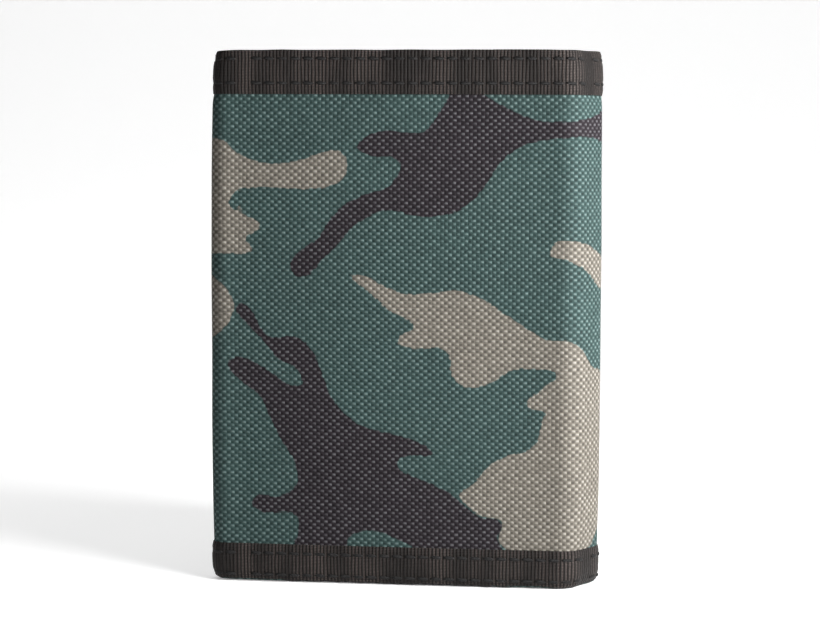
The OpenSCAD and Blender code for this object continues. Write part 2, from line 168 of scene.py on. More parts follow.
class Strip:
    """The whole strip of layers, which folds its flat pattern into the rest pose.

    The capitals are how far, in millimetres, the cloth stands out in the middle of the centre panel,
    of a flap and of a spine, how far it waves, how far the spines' corners are worn in, on the right
    and on the left, how far the top tape draws the spines in, the creases' radii, and how much
    deeper the layers are stacked on the centre panel and on the inner flap than on a spine.
    """

    CROWN = 0.5
    FLAP_CROWN = 0.15
    SPINE_CROWN = 0.85
    WAVE = 0.12
    WORN = (1.2, 0.6)
    PINCH = 0.55
    RIGHT_RADII = (5.5, 5.0)
    LEFT_RADII = (3.0, 3.0)
    CENTRE_STACK = 0.6
    FLAP_STACK = 1.05

    def __init__(self) -> None:
        """Reads the creases, the layers' depths and the height from the frame."""
        first, second = joint_axis("outer_fold"), joint_axis("outer_flap_fold")
        i1, i2 = joint_axis("inner_fold"), joint_axis("inner_flap_fold")
        self.depth, self.outer_axis = first.y, second
        self.inner_axis = Vector((-i2.x, i2.y))
        self.open = 2 * math.atan2((second - first).y, (second - first).x)
        self.right = Arm(first, second, self.outer("end_binding_outer_flap")[0][1], self.RIGHT_RADII)
        self.left = Arm(Vector((-i1.x, i1.y)), self.inner_axis,
                        self.inner("end_binding_inner_flap")[0][1], self.LEFT_RADII)
        self.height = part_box("top_binding_center")[1].z / MM
        self.tape = -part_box("top_binding_center")[0].y / MM

    @staticmethod
    def measure(node: str, turn: Callable[[np.ndarray], tuple[np.ndarray, np.ndarray]]
                ) -> tuple[Span, Span, Span]:
        """Measures a CAD node after its points, in millimetres, are turned into u and n."""
        points = np.array([v.co for v in frame["nodes"][node].data.vertices]) / MM
        u, n = turn(points[:, :2])
        z = points[:, 2]
        return (u.min(), u.max()), (n.min(), n.max()), (z.min(), z.max())

    def outer(self, node: str) -> tuple[Span, Span, Span]:
        """Returns an outer flap node's span in u, counted from the crease, and in n and z."""
        along = np.array([math.cos(self.open), math.sin(self.open)])
        inwards = np.array([-along[1], along[0]])
        flat = np.array(self.outer_axis)
        return self.measure(node, lambda p: ((p - flat) @ along, (p - flat) @ inwards + self.depth))

    def inner(self, node: str) -> tuple[Span, Span, Span]:
        """Returns an inner flap node's span in u, counted from the crease, and in n and z."""
        x, y = self.inner_axis
        return self.measure(node, lambda p: (p[:, 0] + x, y + self.depth - p[:, 1]))

    def centre(self, node: str) -> tuple[Span, Span, Span]:
        """Returns a centre panel node's span in s, n and z."""
        return self.measure(node, lambda p: (p[:, 0], p[:, 1]))

    def stack(self, s: Numbers) -> Numbers:
        """Returns how much deeper than on a spine the bottom tape's inner leg lies at s."""
        start, end = self.left.marks[0], self.left.marks[3]
        centre = self.CENTRE_STACK * (1 - smooth(start - 4, start + 1, abs(s)))
        return centre + self.FLAP_STACK * smooth(end + 1, end + 6, -s)

    def soften(self, s: Numbers, n: Numbers, z: Numbers) -> tuple[Numbers, Numbers]:
        """Gives the flat pattern the small bulges and worn corners of soft cloth.

        Args:
            s: The distance along the strip.
            n: The depth.
            z: The height.

        Returns:
            The moved depth and height.
        """
        half, level = self.right.marks[0], abs(2 * z / self.height - 1)
        outside = 1 - smooth(0.6, 1.4, n)
        centre = self.CROWN * np.cos(math.pi * np.clip(s / half, -1, 1) / 2) ** 2
        right = np.exp(-(((s - self.spine_middle) / 7) ** 2))
        left = np.exp(-(((s - self.inner_middle) / 5) ** 2))
        crown = centre + self.FLAP_CROWN * smooth(half + 22, half + 45, abs(s))
        crown = crown + self.SPINE_CROWN * (right + left)
        depth = n - outside * (crown * (1 - level**4) + self.WAVE * ripple(s / 34, z / 46, 4.0))
        worn = self.WORN[0] * right + self.WORN[1] * left
        above, below = 6.0, 3.5
        top = np.clip(z - self.height + above, 0, above) / above
        bottom = np.clip(below - z, 0, below) / below
        pinch = self.PINCH * (right + left) * smooth(self.height - 12.5, self.height - 8, z)
        drawn = worn * (top**2.6 + 0.8 * bottom**2.2) + pinch
        depth = depth + drawn * (1 - 0.6 * smooth(-0.5, 2.4, n))
        return depth, z + 0.35 * left * (bottom**2 - top**2)

    @property
    def spine_middle(self) -> float:
        """Returns s at the middle of the outer spine."""
        return (self.right.marks[1] + self.right.marks[2]) / 2

    @property
    def inner_middle(self) -> float:
        """Returns s at the middle of the inner spine, which is negative."""
        return -(self.left.marks[1] + self.left.marks[2]) / 2

    def place(self, s: Numbers, n: Numbers, z: Numbers) -> np.ndarray:
        """Returns the places in the frame, in metres, of points of the flat pattern."""
        n, z = self.soften(s, n, z)
        right, left = self.right.path.at(abs(s)), self.left.path.at(abs(s))
        x, y, heading = (np.where(s < 0, a, b) for a, b in zip(left, right))
        x = (x - n * np.sin(heading)) * np.where(s < 0, -1.0, 1.0)
        return np.stack([x, y + n * np.cos(heading), z], axis=-1) * MM


STRIP = Strip()


class Part(Enum):
    """The four lengths that the strip is made in, each with one fold at most."""

    CENTRE = "center"
    INNER_FOLD = "inner_spine"
    INNER_FLAP = "inner_flap"
    OUTER_FLAP = "outer_flap"


@dataclass(frozen=True)
class Length:
    """One length of the strip, with the two bodies that it bends between."""

    part: Part
    s: Span
    bodies: tuple[str, str]
    bend: Span
    stands_for: tuple[str, ...]

    EDGE_TURN = 2.4
    EDGE_WAY = (0.35, 0.94)

    def settle(self, piece: bpy.types.Object) -> None:
        """Makes a piece follow this length's two bodies, turning between them over the bend."""
        start, end = self.turn()
        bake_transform(piece, *self.bodies, start=tuple(start), end=tuple(end))

    def turn(self) -> tuple[Vector, Vector]:
        """Returns where the turning starts and ends.

        The inner spine is so narrow that the layers' cut ends would part at different depths, so
        there the turning keeps clear of the cut.
        """
        middle = STRIP.height / 2
        if self.part in (Part.CENTRE, Part.OUTER_FLAP):
            start, end = (Vector(STRIP.place(s, STRIP.depth, middle)) for s in self.bend)
            return start, end
        cut = [Vector(STRIP.place(STRIP.inner_middle, n, middle)) for n in (-0.6, 3.4)]
        after = self.part is Part.INNER_FLAP
        x, y = self.EDGE_WAY
        way = Vector((x if after else -x, y, 0.0)) * self.EDGE_TURN * MM
        if after:
            edge = max(cut, key=way.dot)
            return edge, edge + way
        edge = min(cut, key=way.dot)
        return edge - way, edge


def lengths() -> tuple[Length, ...]:
    """Returns the four lengths, which meet on the spines and near the centre panel's left edge."""
    right, left = STRIP.right.marks, [-mark for mark in STRIP.left.marks]
    seam, inner, outer = left[0] + 3, STRIP.inner_middle, STRIP.spine_middle
    return (
        Length(Part.CENTRE, (seam, outer), ("center", "outer_spine"), (right[0], right[1]),
               ("center", "outer_spine")),
        Length(Part.INNER_FOLD, (inner, seam), ("center", "inner_spine"), (left[0], left[1]),
               ("inner_spine",)),
        Length(Part.INNER_FLAP, (left[4], inner), ("inner_spine", "inner_flap"),
               (left[2], left[3]), ("inner_flap",)),
        Length(Part.OUTER_FLAP, (outer, right[4]), ("outer_spine", "outer_flap"),
               (right[2], right[3]), ("outer_flap",)),
    )


LENGTHS = lengths()


# ---- shaders ------------------------------------------------------------


class Signal:
    """A shader socket that Python operators work on, each adding a Math node."""

    def __init__(self, tree: bpy.types.NodeTree, socket: bpy.types.NodeSocket) -> None:
        """Keeps the node tree and the socket."""
        self.tree, self.socket = tree, socket

    def math(self, operation: str, *others: "Signal | float") -> "Signal":
        """Returns the result of a Math node fed by this socket and the others."""
        return connect(self.tree, "ShaderNodeMath", {"operation": operation}, self, *others)

    def __add__(self, other: "Signal | float") -> "Signal":
        """Returns the sum."""
        return self.math("ADD", other)

    def __sub__(self, other: "Signal | float") -> "Signal":
        """Returns the difference."""
        return self.math("SUBTRACT", other)

    def __mul__(self, other: "Signal | float") -> "Signal":
        """Returns the product."""
        return self.math("MULTIPLY", other)

    def __truediv__(self, other: "Signal | float") -> "Signal":
        """Returns the quotient."""
        return self.math("DIVIDE", other)

    def __pow__(self, other: "Signal | float") -> "Signal":
        """Returns the power."""
        return self.math("POWER", other)

    def __rsub__(self, other: float) -> "Signal":
        """Returns other minus this."""
        return (self * -1.0) + other

    __radd__, __rmul__ = __add__, __mul__

    def step(self, low: float, high: float) -> "Signal":
        """Returns a smooth step from 0 at low to 1 at high."""
        settings = {"interpolation_type": "SMOOTHSTEP"}
        return connect(self.tree, "ShaderNodeMapRange", settings, self, low, high, 0.0, 1.0)

    def wave(self, pitch: float) -> "Signal":
        """Returns the sine that changes sign every pitch."""
        return (self * (math.pi / pitch)).math("SINE")

    def above(self, floor: float) -> "Signal":
        """Returns this, or floor where that is greater."""
        return self.math("MAXIMUM", floor)


def connect(tree: bpy.types.NodeTree, kind: str, settings: dict[str, object],
            *values: object, out: int | str = 0) -> Signal:
    """Adds any node, sets it, and feeds its sockets in order.

    Args:
        tree: The material's node tree.
        kind: The node's type.
        settings: The node's own properties.
        values: A value or a Signal for each input in order, or None to leave one as it is.
        out: Which output to return.

    Returns:
        The chosen output.
    """
    node = tree.nodes.new(kind)
    for name, value in settings.items():
        setattr(node, name, value)
    for socket, value in zip(node.inputs, values):
        feed(tree, socket, value)
    return Signal(tree, node.outputs[out])


def feed(tree: bpy.types.NodeTree, socket: bpy.types.NodeSocket, value: object) -> None:
    """Links a Signal to a socket, or sets the socket's own value."""
    if isinstance(value, Signal):
        tree.links.new(value.socket, socket)
    elif value is not None:
        flat = socket.type == "RGBA" and len(value) == 3
        socket.default_value = (*value, 1.0) if flat else value


class Finish:
    """A material being built: one Principled shader and the signals that feed it."""

    def __init__(self, name: str) -> None:
        """Starts an empty material of that name."""
        self.material = bpy.data.materials.new(name)
        self.material.use_nodes = True
        self.tree = self.material.node_tree
        self.shader = next(n for n in self.tree.nodes if n.type == "BSDF_PRINCIPLED")

    def set(self, **values: object) -> "Finish":
        """Sets or links the shader's sockets, named in lower case with underscores."""
        for name, value in values.items():
            feed(self.tree, self.shader.inputs[name.replace("_", " ").title().replace("Ior", "IOR")],
                 value)
        return self

    def add(self, kind: str, settings: dict[str, object], *values: object,
            out: int | str = 0) -> Signal:
        """Adds a node to this material and returns one of its outputs."""
        return connect(self.tree, kind, settings, *values, out=out)

    def flat(self) -> tuple[Signal, Signal]:
        """Returns the two flat-pattern coordinates of the piece, in millimetres."""
        uv = self.add("ShaderNodeUVMap", {"uv_map": "pattern"})
        parts = self.add("ShaderNodeSeparateXYZ", {}, uv)
        return parts, Signal(self.tree, parts.socket.node.outputs[1])

    def attribute(self, name: str) -> Signal:
        """Returns one of the mesh's own number attributes."""
        return self.add("ShaderNodeAttribute", {"attribute_name": name}, out=2)

    def joined(self, x: Signal | float, y: Signal | float, z: Signal | float = 0.0) -> Signal:
        """Returns a vector made from three numbers."""
        return self.add("ShaderNodeCombineXYZ", {}, x, y, z)

    def cloud(self, vector: Signal, scale: float, detail: float = 2.0) -> Signal:
        """Returns soft noise from 0 to 1 at that scale."""
        return self.add("ShaderNodeTexNoise", {}, vector, None, scale, detail, 0.6)

    def speckle(self, vector: Signal) -> Signal:
        """Returns one unrelated number from 0 to 1 for each vector."""
        return self.add("ShaderNodeTexWhiteNoise", {"noise_dimensions": "3D"}, vector)

    def blend(self, factor: Signal | float, low: Signal | Colour, high: Signal | Colour,
              how: str = "MIX") -> Signal:
        """Returns two colours mixed by a factor."""
        mix = self.tree.nodes.new("ShaderNodeMix")
        mix.data_type, mix.blend_type = "RGBA", how
        for index, value in ((0, factor), (6, low), (7, high)):
            feed(self.tree, mix.inputs[index], value)
        return Signal(self.tree, mix.outputs[2])

    def shaded(self, colour: Signal | Colour, light: Signal) -> Signal:
        """Returns a colour multiplied by a number that varies over the surface."""
        grey = self.joined(light, light, light)
        return self.blend(1.0, colour, grey, "MULTIPLY")

    def raised(self, height: Signal, depth_mm: float, strength: float = 1.0) -> "Finish":
        """Feeds the shader's normal with a relief of that depth in millimetres."""
        bump = self.tree.nodes.new("ShaderNodeBump")
        feed(self.tree, bump.inputs["Height"], height)
        feed(self.tree, bump.inputs["Distance"], depth_mm * MM)
        feed(self.tree, bump.inputs["Strength"], strength)
        self.tree.links.new(bump.outputs[0], self.shader.inputs["Normal"])
        return self


@dataclass(frozen=True)
class Weave:
    """Plain weave: threads that pass over and under each other, at their two pitches."""

    across: float = 0.90
    up: float = 0.77

    def threads(self, finish: Finish) -> tuple[Signal, Signal, Signal, Signal, Signal]:
        """Draws the weave in the flat pattern.

        Args:
            finish: The material to draw it in.

        Returns:
            The upright threads' relief, the level threads' relief, the height of both, a number of
            its own for each crossing, and the dash of light along each level thread.
        """
        s, z = finish.flat()
        wobble = finish.cloud(finish.joined(s / 6.0, z / 6.0), 1.0) - 0.5
        s, z = s + wobble * 0.5, z + wobble * 0.4
        column, row = s.wave(self.across), z.wave(self.up)
        cell = column * row
        dash = (column.math("ABSOLUTE") ** 0.5) * (row.math("ABSOLUTE") ** 2.4)
        dash = dash * (cell * -1.0).step(0.0, 0.25)
        upright = cell.above(0.0) ** 0.7
        level = (cell * -1.0).above(0.0) ** 0.7
        crossing = finish.joined((s / self.across).math("FLOOR"), (z / self.up).math("FLOOR"))
        return upright, level, level + upright * 0.45, finish.speckle(crossing), dash


@dataclass(frozen=True)
class CamouflageCloth:
    """Printed plain-weave polyester in green, brown-black and beige."""

    green: Colour = (0.025, 0.048, 0.0455)
    dark: Colour = (0.0135, 0.0100, 0.0130)
    beige: Colour = (0.124, 0.112, 0.094)
    # The colour of the painted highlight on the threads.
    shine: Colour = (0.46, 0.50, 0.50)
    weave: Weave = Weave()

    def material(self) -> bpy.types.Material:
        """Returns the material, which reads the print's distances from the mesh and paints light and shade
        on the threads.
        """
        finish = Finish("camouflage_cloth")
        upright, level, height, crossing, dash = self.weave.threads(finish)
        s, z = finish.flat()
        large = finish.cloud(finish.joined(s / 14.0, z / 14.0), 1.0)
        ragged = (crossing - 0.5) * 0.35 + (large - 0.5) * 0.6
        beige = 1.0 - (finish.attribute("beige") + ragged).step(-0.15, 0.15)
        dark = 1.0 - (finish.attribute("dark") + ragged).step(-0.15, 0.15)
        colour = finish.blend(dark, finish.blend(beige, self.green, self.beige), self.dark)
        # Painted light: a painted highlight along each level thread's dash and painted shade on the upright
        # threads; the crossing and large factors are random tone.
        light = dash * 0.45 + level * 0.15 - upright * 0.45 + 0.88
        light = light * (0.85 + crossing * 0.3) * (0.88 + large * 0.24)
        # Painted highlight: the shine colour mixed over each dash as a glint.
        glint = dash * (crossing * 0.09 + 0.05)
        colour = finish.blend(glint, finish.shaded(colour, light), self.shine)
        finish.set(base_color=colour, roughness=0.78 - level * 0.2, specular_ior_level=0.14)
        return finish.raised(height, 0.20, 0.8).material


@dataclass(frozen=True)
class RibbedTape:
    """Woven tape with ribs across its width, dull brown-black."""

    colour: Colour = (0.0130, 0.0102, 0.0092)
    rib: float = 0.80
    yarn: float = 0.34

    def material(self, name: str = "ribbed_tape") -> bpy.types.Material:
        """Returns the material, with its ribs across the tape's own length."""
        finish = Finish(name)
        run, width = finish.flat()
        drift = finish.cloud(finish.joined(run / 5.0, width / 11.0), 1.0) - 0.5
        ribs = (run + drift * 0.5).wave(self.rib).math("ABSOLUTE")
        yarns = (width + drift * 0.3).wave(self.yarn).math("ABSOLUTE")
        row = finish.joined((run / self.rib).math("FLOOR"), (width / self.yarn).math("FLOOR"))
        odd = finish.speckle(row)
        # Painted light: painted highlights on the ribs' tops and yarns, brightest in the patches where the
        # puckered tape faces the light, and painted shade between the ribs; odd is random tone.
        patch = finish.cloud(finish.joined(run / 7.0, width / 30.0), 1.0, 1.0).step(0.35, 0.68)
        light = (ribs ** 3.0) * ((yarns ** 2.0) * 2.2 + 0.3) * (patch * 1.7 + 0.18) + 0.43
        light = light * (0.85 + odd * 0.3)
        finish.set(base_color=finish.shaded(self.colour, light), roughness=0.72 - ribs * 0.14,
                   specular_ior_level=0.14)
        return finish.raised(ribs ** 0.6 + yarns * 0.25, 0.22, 0.8).material


@dataclass(frozen=True)
class PlainCloth:
    """Black or dark cloth in a plain weave, without a print."""

    name: str
    colour: Colour
    weave: Weave = Weave(0.55, 0.50)
    relief: float = 0.15

    def material(self) -> bpy.types.Material:
        """Returns the material."""
        finish = Finish(self.name)
        upright, level, height, crossing, _ = self.weave.threads(finish)
        s, z = finish.flat()
        worn = finish.cloud(finish.joined(s / 18.0, z / 18.0), 1.0)
        # Painted light: thread tops painted lighter and painted shade in the gaps between threads; the
        # crossing and worn factors are random tone.
        light = (upright * 1.3 + level * 0.7 + 0.15) * (0.8 + crossing * 0.4)
        colour = finish.shaded(self.colour, light * (0.7 + worn * 0.7))
        finish.set(base_color=colour, roughness=0.72 - upright * 0.2, specular_ior_level=0.2,
                   sheen_weight=0.05, sheen_roughness=0.4)
        return finish.raised(height, self.relief, 0.8).material


@dataclass(frozen=True)
class ClearSheet:
    """Clear flexible plastic with soft ripples and a few scuffs."""

    colour: Colour = (0.80, 0.84, 0.86)
    cover: float = 0.09

    def material(self) -> bpy.types.Material:
        """Returns the material."""
        finish = Finish("clear_sheet")
        s, z = finish.flat()
        swell = finish.cloud(finish.joined(s / 26.0, z / 34.0), 1.0, 0.0)
        scuff = finish.cloud(finish.joined(s / 3.0, z / 12.0), 1.0, 2.0).step(0.55, 0.85)
        finish.set(base_color=self.colour, roughness=0.2 + scuff * 0.12, alpha=self.cover, ior=1.5)
        return finish.raised(swell, 0.4, 0.4).material


@dataclass(frozen=True)
class Pile:
    """The hook tape's or the loop tape's fuzzy face."""

    name: str
    colour: Colour
    pitch: float
    relief: float

    def material(self) -> bpy.types.Material:
        """Returns the material."""
        finish = Finish(self.name)
        s, z = finish.flat()
        spot = finish.joined(s / self.pitch, z / self.pitch)
        fuzz = finish.cloud(spot, 2.2, 5.0)
        tuft = finish.add("ShaderNodeTexVoronoi", {}, spot, None, 1.0)
        # Painted light: each tuft's middle painted lighter as its lit top and its border painted shade; the
        # fuzz is random tone.
        light = fuzz * 1.1 + (1.0 - tuft) * 0.4
        finish.set(base_color=finish.shaded(self.colour, light), roughness=0.85,
                   specular_ior_level=0.3, sheen_weight=0.35, sheen_roughness=0.6)
        return finish.raised(fuzz + (1.0 - tuft) * 0.6, self.relief, 1.0).material


@dataclass(frozen=True)
class SewingThread:
    """Twisted sewing thread, dark, with painted highlights in scattered spots along it."""

    colour: Colour = (0.0035, 0.0030, 0.0030)

    def material(self) -> bpy.types.Material:
        """Returns the material, twisted along each stitch."""
        finish = Finish("sewing_thread")
        along, twist = finish.flat()
        ply = (along + twist * 0.6).wave(0.28).math("ABSOLUTE")
        odd = finish.cloud(finish.joined(along / 2.0, twist), 1.0)
        # Painted light: the ply's ridges painted lighter and scattered spots painted as bright highlights.
        light = 0.4 + ply * 0.5 + odd.step(0.60, 0.80) * 7.0
        finish.set(base_color=finish.shaded(self.colour, light), roughness=0.6,
                   specular_ior_level=0.2)
        return finish.raised(ply, 0.08, 0.8).material


@dataclass(frozen=True)
class Enamel:
    """Black enamel over cast metal, worn to bare metal in places."""

    enamel: Colour = (0.022, 0.022, 0.024)
    bare: Colour = (0.36, 0.35, 0.33)

    def material(self) -> bpy.types.Material:
        """Returns the material, on object coordinates."""
        finish = Finish("black_enamel")
        place = finish.add("ShaderNodeTexCoord", {}, out=3)
        grain = finish.cloud(place, 900.0, 5.0)
        patch = finish.cloud(place, 260.0, 3.0)
        worn = (grain * 0.6 + patch * 0.4).step(0.60, 0.66)
        colour = finish.blend(worn, self.enamel, self.bare)
        finish.set(base_color=colour, metallic=0.25 + worn * 0.75, roughness=0.34 + grain * 0.2,
                   specular_ior_level=0.5)
        return finish.raised(grain, 0.03, 0.6).material


@dataclass(frozen=True)
class CoilPlastic:
    """Black nylon monofilament."""

    colour: Colour = (0.020, 0.020, 0.022)

    def material(self) -> bpy.types.Material:
        """Returns the material, on object coordinates."""
        finish = Finish("coil_plastic")
        place = finish.add("ShaderNodeTexCoord", {}, out=3)
        haze = finish.cloud(place, 1500.0, 3.0)
        light = 0.7 + haze * 0.8
        finish.set(base_color=finish.shaded(self.colour, light), roughness=0.30 + haze * 0.2,
                   specular_ior_level=0.55)
        return finish.raised(haze, 0.02, 0.5).material


@dataclass(frozen=True)
class PaleFloor:
    """Plain pale floor and backdrop."""

    grey: float = 0.88
    glow: float = 0.32

    def material(self) -> bpy.types.Material:
        """Returns the material."""
        finish = Finish("pale_floor")
        finish.set(base_color=(self.grey,) * 3, roughness=0.9, specular_ior_level=0.1,
                   emission_color=(1.0, 1.0, 1.0), emission_strength=self.glow)
        return finish.material


# ---- the print ----------------------------------------------------------


class Print:
    """The cloth's camouflage print, as smooth closed outlines in millimetres of the flat pattern."""

    DARK_UPPER = (
        (-8, 99), (-6, 101.5), (-2, 102.8), (2, 102.4), (6.7, 102.3), (9.3, 105), (11.8, 109),
        (13.6, 112), (16, 116), (19, 112), (22, 109.8), (27, 107), (32, 105.3), (38, 104.9),
        (45, 105.7), (54, 108), (62, 106), (60, 101), (52, 100.5), (44, 101.6), (37, 101),
        (29, 99.5), (24, 95.5), (21, 91), (16.5, 86), (11, 83.8), (5, 83.8), (0, 85), (-5, 83.8),
        (-9, 81), (-12.5, 77),
        (-16, 73.5), (-19, 70.3), (-22, 70.2), (-23, 73), (-20.5, 76), (-17, 78.5), (-14, 83),
        (-10, 86.7), (-5, 88.8), (-1, 90.3), (1.5, 93.3), (1.8, 95.5), (-0.5, 97), (-5, 97),
    )
    DARK_LOWER = (
        (-35.5, 62), (-34, 63.7), (-32, 62), (-30, 58.5), (-27.5, 56), (-24, 56.5), (-21, 56),
        (-18, 53), (-16, 48.5), (-14, 43.5), (-11, 39.3), (-6, 36), (0, 34.6), (4.5, 33.4),
        (9, 31.2), (8.8, 29.8), (5, 29.9), (1.8, 28.8), (2.2, 26.3), (7, 24.3), (12, 22),
        (16, 19.3), (19.5, 16.3), (24, 15.6), (25.2, 14), (24, 11.5), (25.5, 8.5), (27, 3),
        (12, -4), (-12, -5), (-24, 0), (-22.5, 8), (-21.2, 12), (-21.2, 15), (-24, 16.2),
        (-29, 15.9), (-31.8, 17.6), (-30.8, 20), (-26, 19.8), (-22.5, 21.3), (-21.3, 24.5),
        (-23, 29.5), (-26.3, 34.8), (-28.6, 40), (-30.5, 43.3), (-34, 45.5), (-37.2, 48.6),
        (-36.8, 51), (-33.5, 51.2), (-29, 49), (-25, 46.3), (-21.5, 45), (-20.3, 46.3),
        (-22, 49.2), (-25.5, 50.8), (-28.5, 54), (-31.5, 57.5),
    )
    GREEN_IN_DARK = (
        (-9.7, 8.6), (-9.2, 11), (-6, 12.4), (-2, 12), (2, 10.2), (5.2, 8.2), (3, 3), (-6, 2),
    )
    BEIGE_UPPER_LEFT = (
        (-52, 104), (-44, 101.5), (-38.5, 100.6), (-36.5, 98.6), (-33, 96.5), (-28, 95.3),
        (-22, 95.8), (-17, 97.4), (-13, 98.4), (-10.5, 96.8), (-10.3, 93.6), (-12.5, 91),
        (-17, 89.8), (-25, 89.8), (-31.5, 90), (-35.5, 89), (-37.3, 86.6), (-35.5, 84.3),
        (-31.5, 82.7), (-30, 81), (-32, 79.6), (-33.6, 78), (-32, 76.3), (-33.5, 75),
        (-40, 75), (-47, 74), (-54, 78), (-56, 92),
    )
    BEIGE_MIDDLE_LEFT = (
        (-47, 71), (-41, 69.5), (-37.5, 66.5), (-36.2, 62.5), (-38, 58.5), (-42, 55.5), (-49, 57),
        (-51, 64),
    )
    BEIGE_LARGE = (
        (-9.4, 70), (-6, 70), (-1, 67.6), (4, 66.2), (10, 66.6), (15, 67), (20, 65.4),
        (25.5, 62), (30.5, 58.6), (35, 56.3), (40, 56), (43.5, 53.6), (46.5, 50.3), (53, 48),
        (60, 42), (61, 28), (58, 15), (51, 13), (48.8, 10.6), (46.5, 8.8), (38, 8.2), (28, 8.4),
        (24.8, 10.3), (25.2, 14), (24.5, 15.7), (20.5, 16.4), (17.5, 18.6), (15.6, 21),
        (19, 24), (22.5, 28), (26, 30), (31, 31.4), (33.2, 34), (34, 38), (34.8, 40.2),
        (31, 41), (30.8, 42.6), (34, 45.2), (37.4, 48.2), (36, 49.6), (31, 50), (27, 49.4),
        (23, 46.8), (18.5, 45.2), (15, 46.3), (13.4, 49), (13.2, 52.3), (10.5, 54.3),
        (5, 54), (1.6, 55), (2, 56.9), (5, 58.5), (3.6, 60.6), (-0.5, 62.4), (-4.5, 66),
    )
    BEIGE_SMALL_RIGHT = (
        (35.4, 76.2), (37, 78.2), (41, 78.2), (45.5, 77), (51, 74.5), (54, 70), (50, 67.5),
        (46.5, 70), (43, 72.4), (39, 74.2), (36.2, 74.8),
    )
    DARKS = (DARK_UPPER, DARK_LOWER)
    BEIGES = (BEIGE_UPPER_LEFT, BEIGE_MIDDLE_LEFT, BEIGE_LARGE, BEIGE_SMALL_RIGHT)
    REPEATS = ((0.0, 0.0, 1), (112.0, 121.0, -1), (-106.0, 121.0, -1))
    RAGGED = (-37.0, 86.4)

    @staticmethod
    def rounded(points: Sequence[Span], steps: int = 10) -> np.ndarray:
        """Returns a closed curve through the points, as many short straight steps."""
        p = np.array(points, float)
        before, after, next_after = (np.roll(p, k, axis=0) for k in (1, -1, -2))
        t = np.linspace(0, 1, steps, endpoint=False)[:, None, None]
        curve = 0.5 * (
            2 * p + (after - before) * t + (2 * before - 5 * p + 4 * after - next_after) * t**2
            + (3 * p - before - 3 * after + next_after) * t**3
        )
        return curve.transpose(1, 0, 2).reshape(-1, 2)

    @staticmethod
    def distance(points: np.ndarray, outline: np.ndarray) -> np.ndarray:
        """Measures how far points lie from a closed outline.

        Args:
            points: The points, one to a row.
            outline: The outline's corners, one to a row.

        Returns:
            The distances, negative inside the outline.
        """
        a, b = outline, np.roll(outline, -1, axis=0)
        low, high = outline.min(axis=0) - 3, outline.max(axis=0) + 3
        near = np.all((points > low) & (points < high), axis=1)
        x, y = points[near].T
        found, inside = np.full(len(x), 1e9), np.zeros(len(x), bool)
        for (ax, ay), (bx, by) in zip(a, b):
            dx, dy, px, py = bx - ax, by - ay, x - ax, y - ay
            t = np.clip((px * dx + py * dy) / max(dx * dx + dy * dy, 1e-9), 0, 1)
            found = np.minimum(found, (px - t * dx) ** 2 + (py - t * dy) ** 2)
            if ay != by:
                inside ^= ((y < ay) != (y < by)) & (px < py * dx / dy)
        result = np.full(len(points), FAR)
        result[near] = np.where(inside, -1, 1) * np.sqrt(found)
        return result

    def nearest(self, points: np.ndarray, shapes: Sequence[Sequence[Span]]) -> np.ndarray:
        """Returns the points' distance from the nearest of several shapes."""
        return np.min([self.distance(points, self.rounded(shape)) for shape in shapes], axis=0)

    def fields(self, points: np.ndarray) -> dict[str, np.ndarray]:
        """Returns each printed colour's distance at the points, over every repeat of the print.

        One spot in the beige is ragged: green threads break it up round the point in RAGGED.
        """
        dark, beige = np.full(len(points), FAR), np.full(len(points), FAR)
        for shift, base, flip in self.REPEATS:
            local = points.copy()
            local[:, 0] -= shift
            local[:, 1] = (points[:, 1] - base) * flip
            dark = np.minimum(dark, self.nearest(local, self.DARKS))
            dark = np.maximum(dark, -self.nearest(local, (self.GREEN_IN_DARK,)))
            beige = np.minimum(beige, self.nearest(local, self.BEIGES))
            s, z = local.T
            at_s, at_z = self.RAGGED
            spot = np.exp(-(((s - at_s) / 4.2) ** 2) - ((z - at_z) / 3.4) ** 2)
            beige = beige - 3.4 * spot * np.maximum(ripple(s / 3.6, z / 3.0, 9.0), 0.0)
        return {"dark": dark, "beige": beige}


# ---- making pieces ------------------------------------------------------


def new_mesh() -> bmesh.types.BMesh:
    """Returns an empty mesh with the flat pattern's UV map."""
    made = bmesh.new()
    made.loops.layers.uv.new("pattern")
    return made


def grid(across: Span, up: Span, steps: tuple[int, int]) -> bmesh.types.BMesh:
    """Returns a level grid over two spans, at its place in the flat pattern.

    Args:
        across: The span along x.
        up: The span along y.
        steps: The number of cells each way.
    """
    made = new_mesh()
    centre = Vector((sum(across) / 2, sum(up) / 2, 0))
    size = Matrix.Diagonal((across[1] - across[0], up[1] - up[0], 1, 1))
    bmesh.ops.create_grid(made, x_segments=steps[0], y_segments=steps[1], size=0.5,
                          matrix=Matrix.Translation(centre) @ size, calc_uvs=False)
    return made


def thicken(made: bmesh.types.BMesh) -> None:
    """Turns a level grid into a closed slab from 0 down to -1, with its flat place as its UV."""
    moved = bmesh.ops.extrude_face_region(made, geom=list(made.faces))
    verts = [v for v in moved["geom"] if isinstance(v, bmesh.types.BMVert)]
    bmesh.ops.translate(made, verts=verts, vec=(0, 0, -1))
    bmesh.ops.recalc_face_normals(made, faces=made.faces)
    mark_pattern(made)


def mark_pattern(made: bmesh.types.BMesh, across: int = 0, up: int = 1) -> None:
    """Stores two of each corner's coordinates, counted from 0, as its UV."""
    layer = made.loops.layers.uv["pattern"]
    for face in made.faces:
        for loop in face.loops:
            loop[layer].uv = loop.vert.co[across], loop.vert.co[up]


def slab(across: Span, up: Span, step: float, step_up: float | None = None
         ) -> bmesh.types.BMesh:
    """Returns a closed level slab over two spans, in cells of about that step."""
    made = grid(across, up, (count(across, step), count(up, step_up or step)))
    thicken(made)
    return made


